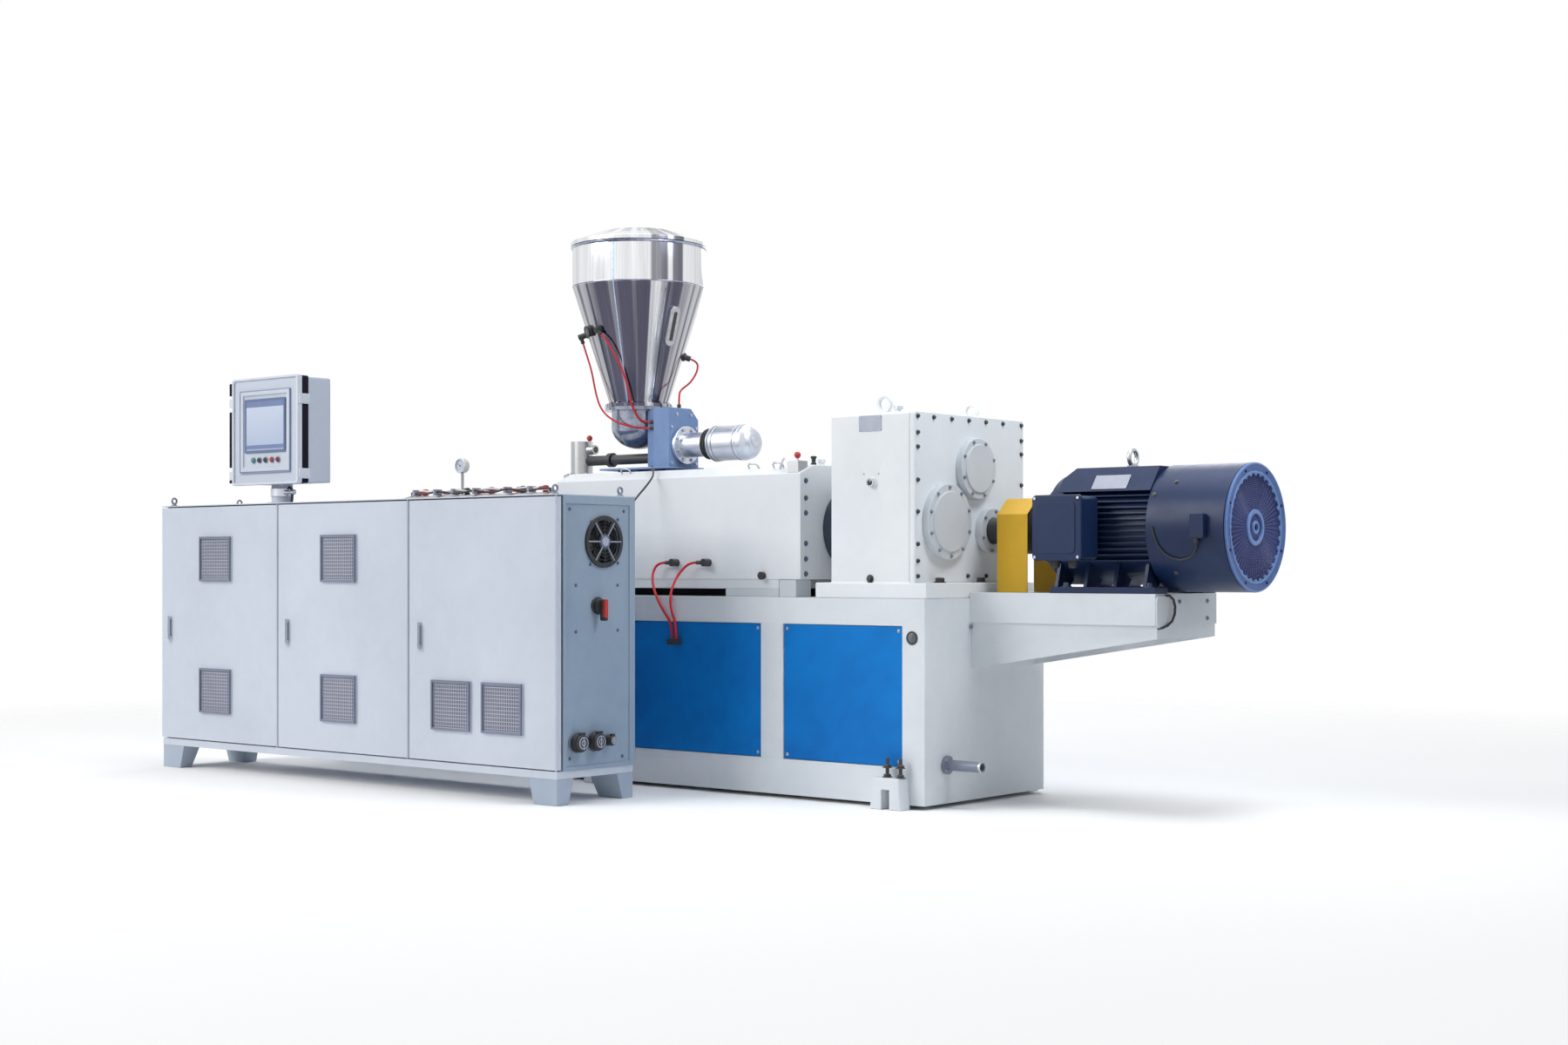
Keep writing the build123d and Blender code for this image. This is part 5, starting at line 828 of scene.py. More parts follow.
screws("bearingCapScrews", capScrews, right, (0.0055, 0.006, 12, 1.25), "bolt_dark")
footPlaces = [(x, y, gearbox["footTop"]) for x, y in gearbox["footBolts"]]
screws("gearboxFootBolts", footPlaces, upward, (0.017, 0.019, 6, 1.3), "black_steel")
x0, z0, x1, z1 = gearbox["plate"]
solid("gearboxPlate", "plate_silver",
    (slab, roundedOutline(((x0 + x1) / 2, (z0 + z1) / 2), x1 - x0, z1 - z0, 0.004), "y", gearFront - 0.0016,
    0.002), bevel=0.0004)
rivets = [(x, gearFront - 0.0016, z) for x in (x0 + 0.006, x1 - 0.006) for z in (z0 + 0.006, z1 - 0.006)]
frontScrews = [(0.9475, gearFront, 1.189), (1.0135, gearFront, 1.189)]
screws("gearboxRivets", rivets + frontScrews, front, (0.0028, 0.003, 10, 1.3), "bolt_zinc")
lensX, lensZ = gearbox["lens"]
solid("gearboxLensRing", "bolt_zinc",
    (ring, (lensX, -0.0215, lensZ), front, 0.017, 0.0115, 0.004, 48, 0.001), smooth=40)
solid("gearboxLens", "lens_dark", (turned, (lensX, -0.0215, lensZ), front,
    [(0, 0.0118), (0.0014, 0.0118), (0.0026, 0.009), (0.0031, 0)], 32), smooth=60)
plugX, plugZ = gearbox["plug"]
breatherX, breatherY = gearbox["breather"]
screws("gearboxPlug", [((plugX, gearFront - 0.001, plugZ), front)], None, (0.01, 0.013, 6, 1.5),
    "black_steel")
solid("gearboxBreather", "motor_silver",
    (turned, (breatherX, breatherY, gearbox["top"]), upward, [(0, 0.013), (0.008, 0.013), (0.009, 0.01),
    (0.013, 0.01), (0.014, 0.017), (0.026, 0.017), (0.03, 0.012), (0.031, 0)], 24), smooth=30)
print("gearbox dressed")

# motor: rating plate, lid border and screws, glands, foot bolts, sensor box and end guard
motor = {
    "axisY": 0.452, "axisZ": 0.988, "cowlRadius": 0.22, "cowlEnd": 2.2495, "footTop": 0.785,
    "plateMid": (1.7915, 0.2905, 1.147), "plateSize": (0.138, 0.062), "plateThick": 0.0025,
    "lidMid": (1.6795, 0.989), "lidFace": 0.1145, "glands": (1.64, 1.71), "footBolts": (1.6185, 1.9445),
    "box": (2.135, 0.95, 2.187, 1.032),
}


def cowlSkin(z, gap=0.0):
    # front of the cowl at a height
    return motor["axisY"] - math.sqrt((motor["cowlRadius"] + gap) ** 2 - (z - motor["axisZ"]) ** 2)


# the plate lies on the motor's sloping shoulder
lean, rise = 0.785, 0.62
slopeNormal = (0, -lean, rise)
solid("motorPlate", "plate_silver",
    (tiltedSlab, motor["plateMid"], *motor["plateSize"], motor["plateThick"], slopeNormal), bevel=0.0004)
plateX, plateY, plateZ = motor["plateMid"]
plateShift, out = motor["plateSize"][1] / 2 - 0.006, motor["plateThick"]
plateRivets = [(plateX + sideX * 0.063, plateY + rise * shift - lean * out,
    plateZ + lean * shift + rise * out) for sideX in (-1, 1) for shift in (-plateShift, plateShift)]
screws("motorPlateRivets", plateRivets, slopeNormal, (0.0022, 0.002, 10, 1.2), "bolt_zinc")
solid("terminalLidBorder", "motor_navy",
    *[(slab, roundedOutline(motor["lidMid"], width, height, 0.016), "y", start, depth)
    for width, height, start, depth in ((0.196, 0.226, 0.1145, 0.002), (0.15, 0.176, 0.11, 0.004))],
    bevel=0.0012, weld=False)
lidX, lidZ = motor["lidMid"]
lidScrews = [(lidX + sx * 0.086, motor["lidFace"], lidZ + sz * 0.101) for sx in (-1, 1) for sz in (-1, 1)]
screws("terminalLidScrews", lidScrews, front, (0.0055, 0.006, 12, 1.3), "bolt_zinc")
solid("terminalGlands", "black_plastic", *[(turned, (x, 0.172, 0.8765),
    downward, [(0, 0.019), (0.009, 0.019), (0.01, 0.016), (0.022, 0.015), (0.026, 0.011), (0.027, 0)], 20)
    for x in motor["glands"]], smooth=30)
motorFeet = [(x, y, motor["footTop"]) for x in motor["footBolts"] for y in (0.28, 0.624)]
screws("motorFootBolts", motorFeet, upward, (0.012, 0.015, 6, 1.5), "latch_blue")
x0, z0, x1, z1 = motor["box"]
solid("cowlSensorBox", "motor_navy",
    (slab, roundedOutline(((x0 + x1) / 2, (z0 + z1) / 2), x1 - x0, z1 - z0, 0.006, 4), "y", 0.209, 0.03),
    bevel=0.002)
bm = bmesh.new()
turned(bm, (x0 + 0.018, 0.222, z0 + 0.001), downward,
    [(0, 0.009), (0.012, 0.009), (0.018, 0.006), (0.019, 0)], 16)
wirePath = [(x0 + 0.018, 0.222, z0 - 0.016)]
wirePath += [(x, cowlSkin(z, 0.004), z) for x, z in ((2.147, 0.918), (2.132, 0.898), (2.108, 0.884),
    (2.078, 0.878), (2.048, 0.884), (2.022, 0.9), (2.004, 0.926), (1.992, 0.958), (1.984, 0.99))]
bentBar(bm, wirePath, 0.0032, 8)
piece("cowlSensorWire", bm, "black_plastic", smooth=50)
cowlBolts = []
for x, z in ((2.042, 1.142), (2.042, 0.834), (1.975, 1.1)):
    climb = (z - motor["axisZ"]) / motor["cowlRadius"]
    cowlBolts.append(((x, cowlSkin(z), z), (0, -math.sqrt(1 - climb ** 2), climb)))
screws("cowlScrews", cowlBolts, None, (0.006, 0.005, 12, 1.4), "black_steel")
axis, cowlEnd = (motor["axisY"], motor["axisZ"]), motor["cowlEnd"]
solid("cowlEndRing", "ring_blue", (turned, (cowlEnd - 0.003, *axis), right, [(0, 0.206), (0.006, 0.2205),
    (0.011, 0.2195), (0.0125, 0.213), (0.0105, 0.202), (0.009, 0.19), (0.003, 0.186)], 96, True), smooth=40,
    standsFor=("motor_cowl_grille",), weld=False)
solid("cowlLightRings", "ring_light",
    (ring, (cowlEnd + 0.004, *axis), right, 0.191, 0.183, 0.005, 96, 0.0015),
    (ring, (cowlEnd + 0.0065, *axis), right, 0.2185, 0.2135, 0.0035, 96, 0.001),
    *[(turned, place, right, [(0, 0.0095), (0.003, 0.0095), (0.0045, 0.007), (0.0048, 0)], 14)
    for place in onCircle((cowlEnd + 0.003, *axis), 0.184, 32)],
    (ring, (cowlEnd, *axis), right, 0.061, 0.047, 0.008, 64, 0.002),
    (ring, (cowlEnd, *axis), right, 0.022, 0.014, 0.009, 40, 0.0015), smooth=40, weld=False)
grown("cowlWireGuard", wireTree, [((cowlEnd + 0.001, *axis), right)], {"Rings": 28, "Spokes": 60,
    "Inner": 0.018, "Outer": 0.19, "Wire": 0.0011, "Facets": 72}, "wire_blue", smooth=60)
solid("cowlFanShade", "mesh_blue",
    (turned, (cowlEnd - 0.012, *axis), right, [(0, 0.206), (0.002, 0.206), (0.002, 0.0)], 64), smooth=30,
    weld=False)
ringScrews = onCircle((cowlEnd + 0.008, *axis), 0.203, 8, 0.39)
screws("cowlRingScrews", ringScrews, right, (0.0045, 0.003, 12, 1.2), "mesh_blue")
print("motor dressed")

# base: panel screws, jack bolts, hole liner and the end of the drain stub
base = {
    "panelFace": -0.039, "panelLow": 0.148, "panelHigh": 0.644, "feet": (1.1115, -0.3105, -1.7325),
    "jackSteps": (-0.012, 0.046), "jackY": (-0.074, 0.758), "hole": (1.1855, 0.604), "stub": (0.088, 0.152),
}
bm = bmesh.new()
bm.from_mesh(nodes["base_panels"].data)
bmesh.ops.remove_doubles(bm, verts=bm.verts, dist=0.0001)
corners = sorted({(round(vert.co.x, 3), round(vert.co.z, 3)) for vert in bm.verts if vert.co.y < 0.3})
bm.free()
edgesX = sorted({x for x, z in corners})
panelScrews = []
for index, x in enumerate(edgesX):
    inward = 0.016 if index % 2 == 0 else -0.016
    panelScrews += [(x + inward, base["panelFace"], base["panelLow"] + 0.016),
        (x + inward, base["panelFace"], base["panelHigh"] - 0.016)]
bothSides = [(place, front) for place in panelScrews] + [((x, 0.723, z), back) for x, y, z in panelScrews]
screws("panelScrews", bothSides, None, (0.0048, 0.004, 12, 1.4), "bolt_zinc")
jackPlaces = [(centre + step, y) for centre in base["feet"] for step in base["jackSteps"]
    for y in base["jackY"]]
solid("footJackRods", "black_steel",
    *[(rod, (x, y, 0.111), upward, 0.0065, 0.069, 16, 0.001) for x, y in jackPlaces], smooth=30, weld=False)
screws("footJackNuts", [((x, y, z), upward) for x, y in jackPlaces for z in (0.112, 0.146)], None,
    (0.0135, 0.012, 6, 1.35), "black_steel")
solid("cableHoleLiner", "black_plastic",
    (ring, (base["hole"][0], -0.0435, base["hole"][1]), front, 0.0245, 0.0185, 0.003, 40, 0.0008), smooth=40)
solid("stubEndRing", "plain_steel",
    (ring, (1.386, *base["stub"]), right, 0.0208, 0.0158, 0.008, 40, 0.0008), smooth=40)
screws("stubFlangeScrews", onCircle((1.2515, *base["stub"]), 0.026, 4, 0.78), right, (0.0035, 0.004, 6, 1.3),
    "bolt_zinc")
solid("bracketLip", "cap_grey",
    (slab, roundedOutline((0.2725, 0.7015), 0.075, 0.109, 0.018, 5), "x", 1.9945, 0.007), bevel=0.0015)
solid("bracketLoop", "black_plastic", (bentBar, [(1.992, 0.3, 0.756), (2.002, 0.318, 0.757),
    (2.006, 0.338, 0.744), (2.007, 0.349, 0.72), (2.007, 0.346, 0.694), (2.006, 0.33, 0.67),
    (2.005, 0.3, 0.655), (2.003, 0.27, 0.648), (1.996, 0.25, 0.646)], 0.0045, 10), smooth=50)
screws("bracketScrews", [((1.246, 0.2345, 0.639), front), ((1.9945, 0.6, 0.735), right),
    ((1.9945, 0.6, 0.675), right), ((1.9945, 0.4, 0.735), right)], None, (0.006, 0.006, 6, 1.35), "bolt_dark")
print("base dressed")

# drive housing: cover screws, flange bolts, handles, valve knob and its bent pipe
housing = {
    "endFace": 0.5995, "columnY": (0.088, 0.596), "columnZ": (1.178, 1.113, 1.057, 0.943, 0.885, 0.829),
    "flangeFace": 0.6395, "axis": (0.342, 1.0), "top": 1.2395,
}
endScrews = [(housing["endFace"], y, z) for y in housing["columnY"] for z in housing["columnZ"]]
screws("housingEndScrews", endScrews, right, (0.0075, 0.007, 12, 1.4), "latch_blue")
flangeBolts = onCircle((housing["flangeFace"], *housing["axis"]), 0.139, 12, 0.26)
screws("outputFlangeBolts", flangeBolts, right, (0.0105, 0.013, 6, 1.3), "bolt_dark")
solid("housingHandles", "plain_steel",
    *[(bentBar, [(x - 0.024, 0.112, 1.232), (x - 0.023, 0.104, 1.244), (x - 0.015, 0.1, 1.25),
    (x + 0.015, 0.1, 1.25), (x + 0.023, 0.104, 1.244), (x + 0.024, 0.112, 1.232)], 0.0035, 10)
    for x in (0.45, 0.327, -0.348)], smooth=50, weld=False)
solid("valvePipe", "motor_silver",
    (bentBar, [(0.534, 0.092, 1.243), (0.522, 0.092, 1.244), (0.512, 0.092, 1.249), (0.502, 0.094, 1.262),
    (0.492, 0.096, 1.266), (0.48, 0.098, 1.258), (0.47, 0.1, 1.238), (0.462, 0.104, 1.226)], 0.0042, 10),
    smooth=50)
knobs = {"valveKnob": (0.5585, 0.09, 1.276), "dropKnob": (-0.8055, 0.363, 1.405)}
for knobName, place in knobs.items():
    solid(knobName, "red_plastic",
        (turned, (place[0], place[1], place[2] - 0.0125), upward, [(0, 0.0065), (0.002, 0.008),
        (0.006, 0.0112), (0.012, 0.0128), (0.018, 0.0115), (0.023, 0.0075), (0.0255, 0)], 28), smooth=50)
solid("housingFittings", "black_plastic", *[(turned, (x - 0.012, y, housing["top"]), upward,
    [(0, 0.011), (0.01, 0.011), (0.011, 0.008), (0.024, 0.008), (0.03, 0.0115), (0.036, 0.0115), (0.038, 0)],
    16) for x, y in ((0.585, 0.3), (0.585, 0.4), (0.545, 0.455), (0.56, 0.2))], smooth=30, weld=False)
solid("housingCaps", "machine_white", *[(turned, (x, y, housing["top"]),
    upward, [(0, 0.013), (0.014, 0.013), (0.015, 0.017), (0.026, 0.017), (0.028, 0.012), (0.029, 0)], 20)
    for x, y in ((0.545, 0.25), (0.56, 0.35))], smooth=30, weld=False)
print("housing dressed")

# feeder: flange bolts, cooling ring, drum ribs, gear housing screws, port and sight tube
feeder = {
    "y": 0.342, "z": 1.353, "flangeFace": -0.2255, "gearFace": -0.2455, "ringStart": -0.1075,
    "dropX": -0.8305, "dropTop": 1.247, "outletX": -0.4965, "outletTop": 1.531,
}
tubeAxis = (feeder["y"], feeder["z"])
screws("feederFlangeBolts", onCircle((feeder["flangeFace"], *tubeAxis), 0.065, 8, 0.39), right,
    (0.0065, 0.007, 6, 1.3), "bolt_zinc")
gearCorners = [(feeder["gearFace"], y, z) for y in (0.268, 0.416) for z in (1.279, 1.425)]
gearCorners += [(feeder["gearFace"], 0.3, 1.478), (feeder["gearFace"], 0.384, 1.478)]
screws("gearHousingScrews", gearCorners, right, (0.006, 0.006, 12, 1.3), "bolt_zinc")
solid("feederCoolingRings", "black_plastic",
    *[(ring, (feeder["ringStart"] + 0.003 + 0.0082 * step, *tubeAxis), right, 0.0625, 0.056, 0.0032, 48,
    0.0006) for step in range(5)], smooth=30, weld=False)
solid("feederDrumBands", "motor_silver", *[(ring, (x, *tubeAxis), right, reach, 0.068, 0.005, 64, 0.0012)
    for x, reach in ((-0.0655, 0.0735), (-0.048, 0.0715), (0.062, 0.0715), (0.082, 0.0725))], smooth=40,
    weld=False)
solid("feederDrumGaps", "bolt_dark", *[(ring, (x, *tubeAxis), right, 0.0708, 0.068, 0.0045, 64, 0.0006)
    for x in (-0.059, -0.041, 0.069)], smooth=40, weld=False)
solid("feederDrumEnd", "motor_silver", (turned, (0.138, *tubeAxis),
    right, [(0, 0.024), (0.0022, 0.024), (0.003, 0.021), (0.003, 0.015), (0.0014, 0.012), (0.0014, 0)], 40),
    smooth=30)
solid("dropPortRing", "plain_steel", (ring, (-0.7525, *tubeAxis), right, 0.0205, 0.0135, 0.004, 32, 0.0008),
    (turned, (-0.752, *tubeAxis), right, [(0, 0.014), (0.0008, 0.014), (0.0008, 0)], 32), smooth=30,
    weld=False)
solid("dropPortShade", "lens_dark",
    (turned, (-0.7515, *tubeAxis), right, [(0.0005, 0.013), (0.0015, 0.0128), (0.0016, 0)], 28), smooth=30)
screws("dropFlangeBolts", onLevelCircle((feeder["dropX"], feeder["y"], feeder["dropTop"]), 0.063,
    (0.5, 1.55, 2.6, 3.65, 4.7, 5.75)), upward, (0.0065, 0.008, 6, 1.35), "bolt_zinc")
bowlBolts = onLevelCircle((feeder["outletX"], feeder["y"], feeder["outletTop"]), 0.13,
    [math.tau * step / 12 for step in range(12)])
screws("outletFlangeBolts", bowlBolts, upward, (0.0055, 0.006, 6, 1.3), "bolt_zinc")
print("feeder dressed")

# hopper: rolled rims, upright seam, sight window and round sights
coneTilt = math.atan2(hopper["rim"] - hopper["outlet"], hopper["coneHigh"] - hopper["coneLow"])


def onHopper(turn, z, gap=0.0):
    share = min(1.0, (z - hopper["coneLow"]) / (hopper["coneHigh"] - hopper["coneLow"]))
    reach = hopper["outlet"] + share * (hopper["rim"] - hopper["outlet"])
    tilt = coneTilt if z < hopper["coneHigh"] else 0.0
    normal = Vector((math.cos(tilt) * math.cos(turn), math.cos(tilt) * math.sin(turn), -math.sin(tilt)))
    return Vector((hopper["x"] + reach * math.cos(turn), hopper["y"] + reach * math.sin(turn),
        z)) + normal * gap, normal


solid("hopperRims", "elbow_steel", *[(turned, (hopper["x"], hopper["y"], z),
    upward, [(thick * math.sin(math.tau * step / 10), reach + thick * math.cos(math.tau * step / 10))
    for step in range(10)], 96, True) for z, reach, thick in ((hopper["top"] - 0.006, hopper["rim"], 0.0065),
    (hopper["coneHigh"], hopper["rim"] - 0.001, 0.0024),
    (hopper["top"] + 0.01, hopper["rim"] + 0.001, 0.004))], smooth=60, weld=False)
bm = bmesh.new()
seamPath = [onHopper(hopper["seam"], hopper["coneLow"] + (hopper["coneHigh"] - 0.0005 - hopper["coneLow"])
    * step / 8, 0.0004)[0] for step in range(9)]
seamPath += [onHopper(hopper["seam"], z, 0.0004)[0] for z in (2.03, 2.1, 2.176)]
bentBar(bm, seamPath, 0.003, 8)
piece("hopperSeam", bm, "seam_blue", smooth=60)
place, normal = onHopper(*hopper["window"], 0.0115)
solid("windowRim", "plain_steel", (tiltedSlab, place, 0.044, 0.163, 0.0035, normal, 0.0215), bevel=0.001)
solid("windowPane", "lens_dark",
    (tiltedSlab, place + normal * 0.003, 0.017, 0.122, 0.0016, normal, 0.008), bevel=0.0004)
windowNuts = []
level = Vector((0, 0, 1)).cross(normal).normalized()
for side in (-1, 1):
    for share in (-0.9, -0.3, 0.3, 0.9):
        windowNuts.append(
            (place + normal * 0.0035 + level * side * 0.0155 + normal.cross(level) * share * 0.062, normal))
screws("windowNuts", windowNuts, None, (0.0028, 0.003, 6, 1.3), "bolt_zinc")
place, normal = onHopper(*hopper["sight"], 0.0135)
solid("sightRing", "black_plastic", (ring, place, normal, 0.024, 0.015, 0.005, 36, 0.001), smooth=40)
solid("sightLens", "lens_dark",
    (turned, place, normal, [(0, 0.0155), (0.003, 0.0155), (0.0042, 0.012), (0.0046, 0)], 32), smooth=60)
print("hopper dressed")

# cabinet doors: vent shade sheets, lattices and frames, and latch screws; each rides its own door
doors = {
    "bodies": ("door_left", "door_middle", "door_right"), "first": -2.2555, "pitch": 0.804, "front": -0.769,
    "vents": (
        ((0.388, 0.338), (0.388, 0.889)), ((0.388, 0.338), (0.388, 0.889)), ((0.242, 0.338), (0.519, 0.338))),
    "opening": (0.192, 0.166), "latch": (0.058, 0.597),
}
doorFront = doors["front"]
for index, body in enumerate(doors["bodies"]):
    start = doors["first"] + index * doors["pitch"]
    centres = [(start + x, z) for x, z in doors["vents"][index]]
    solid(body + "VentShade", "vent_dark",
        *[(slab, roundedOutline(centre, *doors["opening"], 0.003, 3), "y", doorFront - 0.003, 0.0022)
        for centre in centres], body=body, weld=False)
    holders = [((x, doorFront - 0.0033, z), upward) for x, z in centres]
    grown(body + "VentRibs", slatTree, holders, {"Count": 20, "Pitch": (0.0094, 0, 0),
        "Blade": (0.0036, 0.0022, 0.165), "Tilt": (0, 0, 0.35)}, "vent_lavender", body)
    grown(body + "VentSlats", slatTree, [((x, y - 0.0006, z), aim) for (x, y, z), aim in holders],
        {"Count": 12, "Pitch": (0, 0, 0.0138), "Blade": (0.191, 0.0016, 0.0036), "Tilt": (0.5, 0, 0)},
        "vent_lavender", body)
    solid(body + "VentFrames", "vent_rim_painted_shade",
        *[(frameRing, centre, (0.212, 0.187), (0.196, 0.17), 0.004, "y", doorFront - 0.0125, 0.013)
        for centre in centres], body=body, bevel=0.0006, weld=False)
    latchX, latchZ = start + doors["latch"][0], doors["latch"][1]
    latchScrews = [((latchX - 0.0135, doorFront - 0.0005, latchZ + side * 0.037), front) for side in (-1, 1)]
    screws(body + "LatchScrews", latchScrews, None, (0.0048, 0.005, 12, 1.35), "latch_blue", body)

# cabinet end and roof: panel screws, lifting eyes, fan guard, sockets' lids
cabinet = {
    "endFace": 0.1475,
    "screws": (
        (-0.701, 1.063), (-0.422, 1.06), (-0.67, 0.789), (-0.454, 0.788), (-0.67, 0.621), (-0.454, 0.622),
        (-0.43, 0.158), (-0.701, 0.166)),
    "fanScrews": ((-0.592, 1.019), (-0.454, 1.029), (-0.597, 0.864), (-0.454, 0.869)), "roof": 1.116,
    "eyes": ((-2.215, -0.735), (-2.215, -0.4), (0.108, -0.735), (0.108, -0.4)),
    "fan": (0.1562, -0.5295, 0.947), "sockets": ((-0.6705, 0.034), (-0.5815, 0.034), (-0.5135, 0.02)),
    "socketLevel": 0.222,
}
socketLevel = cabinet["socketLevel"]
screws("endPanelScrews", [(cabinet["endFace"], y, z) for y, z in cabinet["screws"]], right,
    (0.0045, 0.004, 12, 1.5), "latch_blue")
screws("fanScrews", [(cabinet["endFace"] + 0.0005, y, z) for y, z in cabinet["fanScrews"]], right,
    (0.0042, 0.005, 12, 1.4), "latch_blue")
bm = bmesh.new()
for x, y in cabinet["eyes"]:
    turned(bm, (x, y, cabinet["roof"] - 0.0005), upward,
        [(0, 0.014), (0.004, 0.014), (0.006, 0.009), (0.011, 0.008)], 20)
    centre = Vector((x, y, cabinet["roof"] + 0.022))
    rimPath = [centre + Vector((0, 0.0115 * math.cos(turn), 0.0115 * math.sin(turn)))
        for turn in [math.tau * step / 20 for step in range(21)]]
    bentBar(bm, rimPath, 0.0042, 8)
piece("roofEyes", bm, "bolt_dark", smooth=45, weld=False)
fanHub = Vector(cabinet["fan"])
grown("fanFingerGuard", wireTree, [(cabinet["fan"], right)], {"Rings": 5, "Spokes": 4, "Inner": 0.03,
    "Outer": 0.08, "Wire": 0.0008, "Facets": 48}, "black_steel", smooth=60)
solid("fanStays", "vent_lavender", *[(outBar, fanHub + Vector((0.0012, 0, 0)), turn, 0.022, 0.084, 0.0019, 8)
    for turn in (0.95, 2.2, 4.09, 5.33, 0.0, math.pi)], smooth=50, weld=False)
solid("fanHubCap", "latch_blue",
    (turned, cabinet["fan"], right, [(-0.001, 0.0245), (0.0024, 0.0245), (0.0036, 0.022), (0.0036, 0.0)], 40),
    smooth=30)
solid("fanHubFace", "vent_lavender",
    (turned, fanHub + Vector((0.0034, 0, 0)), right, [(0, 0.017), (0.0012, 0.016), (0.0012, 0.0)], 32),
    *[(outBar, fanHub + Vector((0.004, 0, 0)), turn, 0.004, 0.021, 0.0016, 6)
    for turn in (0.4, 1.65, 2.9, 4.2, 5.45)], smooth=30, weld=False)
bm = bmesh.new()
for y, reach in cabinet["sockets"]:
    centre = (0.1775, y, socketLevel)
    turned(bm, centre, right, [(-0.001, reach * 0.86), (0.004, reach * 0.9), (0.008, reach * 0.84),
        (0.011, reach * 0.6), (0.012, 0)], 36)
    slab(bm, roundedOutline((y, socketLevel + reach * 0.98), reach * 0.8, 0.01, 0.003, 3), "x", 0.172, 0.013)
piece("socketLids", bm, "black_plastic", smooth=32, bevel=0.0008, weld=False)
# pale rings and a bar on each socket lid: painted highlights
bm = bmesh.new()
for y, reach in cabinet["sockets"]:
    for share in (0.66, 0.34):
        ring(bm, (0.1868, y, socketLevel), right, reach * share, reach * share - 0.0035, 0.0032, 32, 0.0005)
    slab(bm, roundedOutline((y, socketLevel), 0.004, reach * 1.3, 0.0015, 2), "x", 0.1868, 0.0036)
piece("socketLidHighlights", bm, "vent_lavender", smooth=40, weld=False)

# isolator: the lever's outer part is red, the rest black
solid("isolatorGrip", "red_plastic", (slab, roundedOutline((-0.5615, 0.7035), 0.0165, 0.068, 0.005, 4), "x",
    0.183, 0.0136), body="isolator_lever", bevel=0.0015)
solid("socketCollars", "bolt_dark",
    *[(ring, (0.1475, y, socketLevel), right, reach * 1.14, reach * 0.98, 0.006, 36, 0.001)
    for y, reach in cabinet["sockets"]], smooth=40, weld=False)
print("cabinet dressed")

# operator box: lid with its gasket and clips, border round the screen, buttons, and a lever on the post
operator = {
    "low": 1.205, "high": 1.64, "left": -1.904, "right": -1.477, "front": -0.6515, "clips": (1.24, 1.547),
    "buttons": ((-1.77, "button_green"), (-1.729, "black_plastic"), (-1.688, "black_plastic"),
        (-1.646, "red_plastic"), (-1.605, "button_wine")),
    "buttonLevel": 1.301,
}
boxFront = operator["front"]
middleX, middleZ = (operator["left"] + operator["right"]) / 2, (operator["low"] + operator["high"]) / 2
wide, tall = operator["right"] - operator["left"], operator["high"] - operator["low"]
solid("operatorLid", "lid_pale",
    (frameRing, (middleX, middleZ), (wide + 0.018, tall + 0.014), (wide - 0.006, tall - 0.006), 0.012, "y",
    boxFront - 0.008, 0.024), body="operator_box", bevel=0.003, segments=3)
# a blue-grey frame inside the lid paints the shade in its recessed edge
solid("operatorRecessShade", "recess_shade_blue", (frameRing, (middleX, middleZ - 0.002), (0.338, 0.346), (0.329, 0.337),
    0.004, "y", boxFront - 0.008, 0.008), body="operator_box", bevel=0.0008)
solid("operatorGasket", "gasket_black", (slab,
    roundedOutline((middleX, middleZ), wide + 0.012, tall + 0.008, 0.01), "y", boxFront + 0.0158, 0.034),
    *[(slab, roundedOutline((operator["left"] - 0.02, (foot + head) / 2), 0.022, head - foot, 0.003, 3), "y",
    boxFront - 0.004, 0.022) for foot, head in ((1.209, 1.24), (1.275, 1.51), (1.578, 1.63))],
    body="operator_box", bevel=0.001, weld=False)
solid("operatorClips", "lid_pale", *[step for z in operator["clips"] for step in ((slab,
    roundedOutline((operator["left"] - 0.014, z), 0.03, 0.036, 0.004, 3), "y", boxFront - 0.006, 0.03), (slab,
    roundedOutline((operator["right"] + 0.009, z), 0.014, 0.042, 0.004, 3), "y", boxFront - 0.002, 0.052))],
    body="operator_box", bevel=0.0015, weld=False)
solid("screenBezel", "screen_rim", (frameRing, (middleX, 1.4445), (0.272, 0.224), (0.252, 0.204), 0.004, "y",
    boxFront - 0.0066, 0.004), body="operator_box", bevel=0.0008)
solid("screenBars", "screen_bar",
    *[(slab, roundedOutline((middleX, level), 0.252, thick, 0.002, 2), "y", boxFront - 0.0058, 0.002)
    for level, thick in ((1.535, 0.024), (1.356, 0.016))], body="operator_box")
for index, (x, skin) in enumerate(operator["buttons"]):
    centre = (x, boxFront - 0.001, operator["buttonLevel"])
    solid("buttonCollar" + str(index + 1), "bolt_dark",
        (ring, centre, front, 0.0125, 0.0092, 0.0045, 28, 0.0008), body="operator_box", smooth=40)
    solid("button" + str(index + 1), skin,
        (turned, centre, front, [(0.0005, 0.0096), (0.0075, 0.0094), (0.0092, 0.0078), (0.0096, 0)], 28),
        body="operator_box", smooth=40)
solid("postClamp", "motor_silver", (ring, (middleX, -0.5675, 1.15), upward, 0.0475, 0.0435, 0.034, 48, 0.001),
    (turned, (-1.644, -0.585, 1.167), right, [(-0.004, 0.009), (0.012, 0.009), (0.016, 0.006), (0.04, 0.0052),
    (0.044, 0.0105), (0.058, 0.0105), (0.062, 0.006), (0.063, 0)], 20), smooth=32, weld=False)
solid("postCable", "black_plastic", (bentBar, [(-1.654, -0.5655, 1.187), (-1.64, -0.5665, 1.188),
    (-1.629, -0.568, 1.182), (-1.621, -0.57, 1.168), (-1.618, -0.572, 1.15), (-1.62, -0.572, 1.134),
    (-1.626, -0.572, 1.12), (-1.628, -0.572, 1.115)], 0.006, 10), smooth=50)
print("operator box dressed")

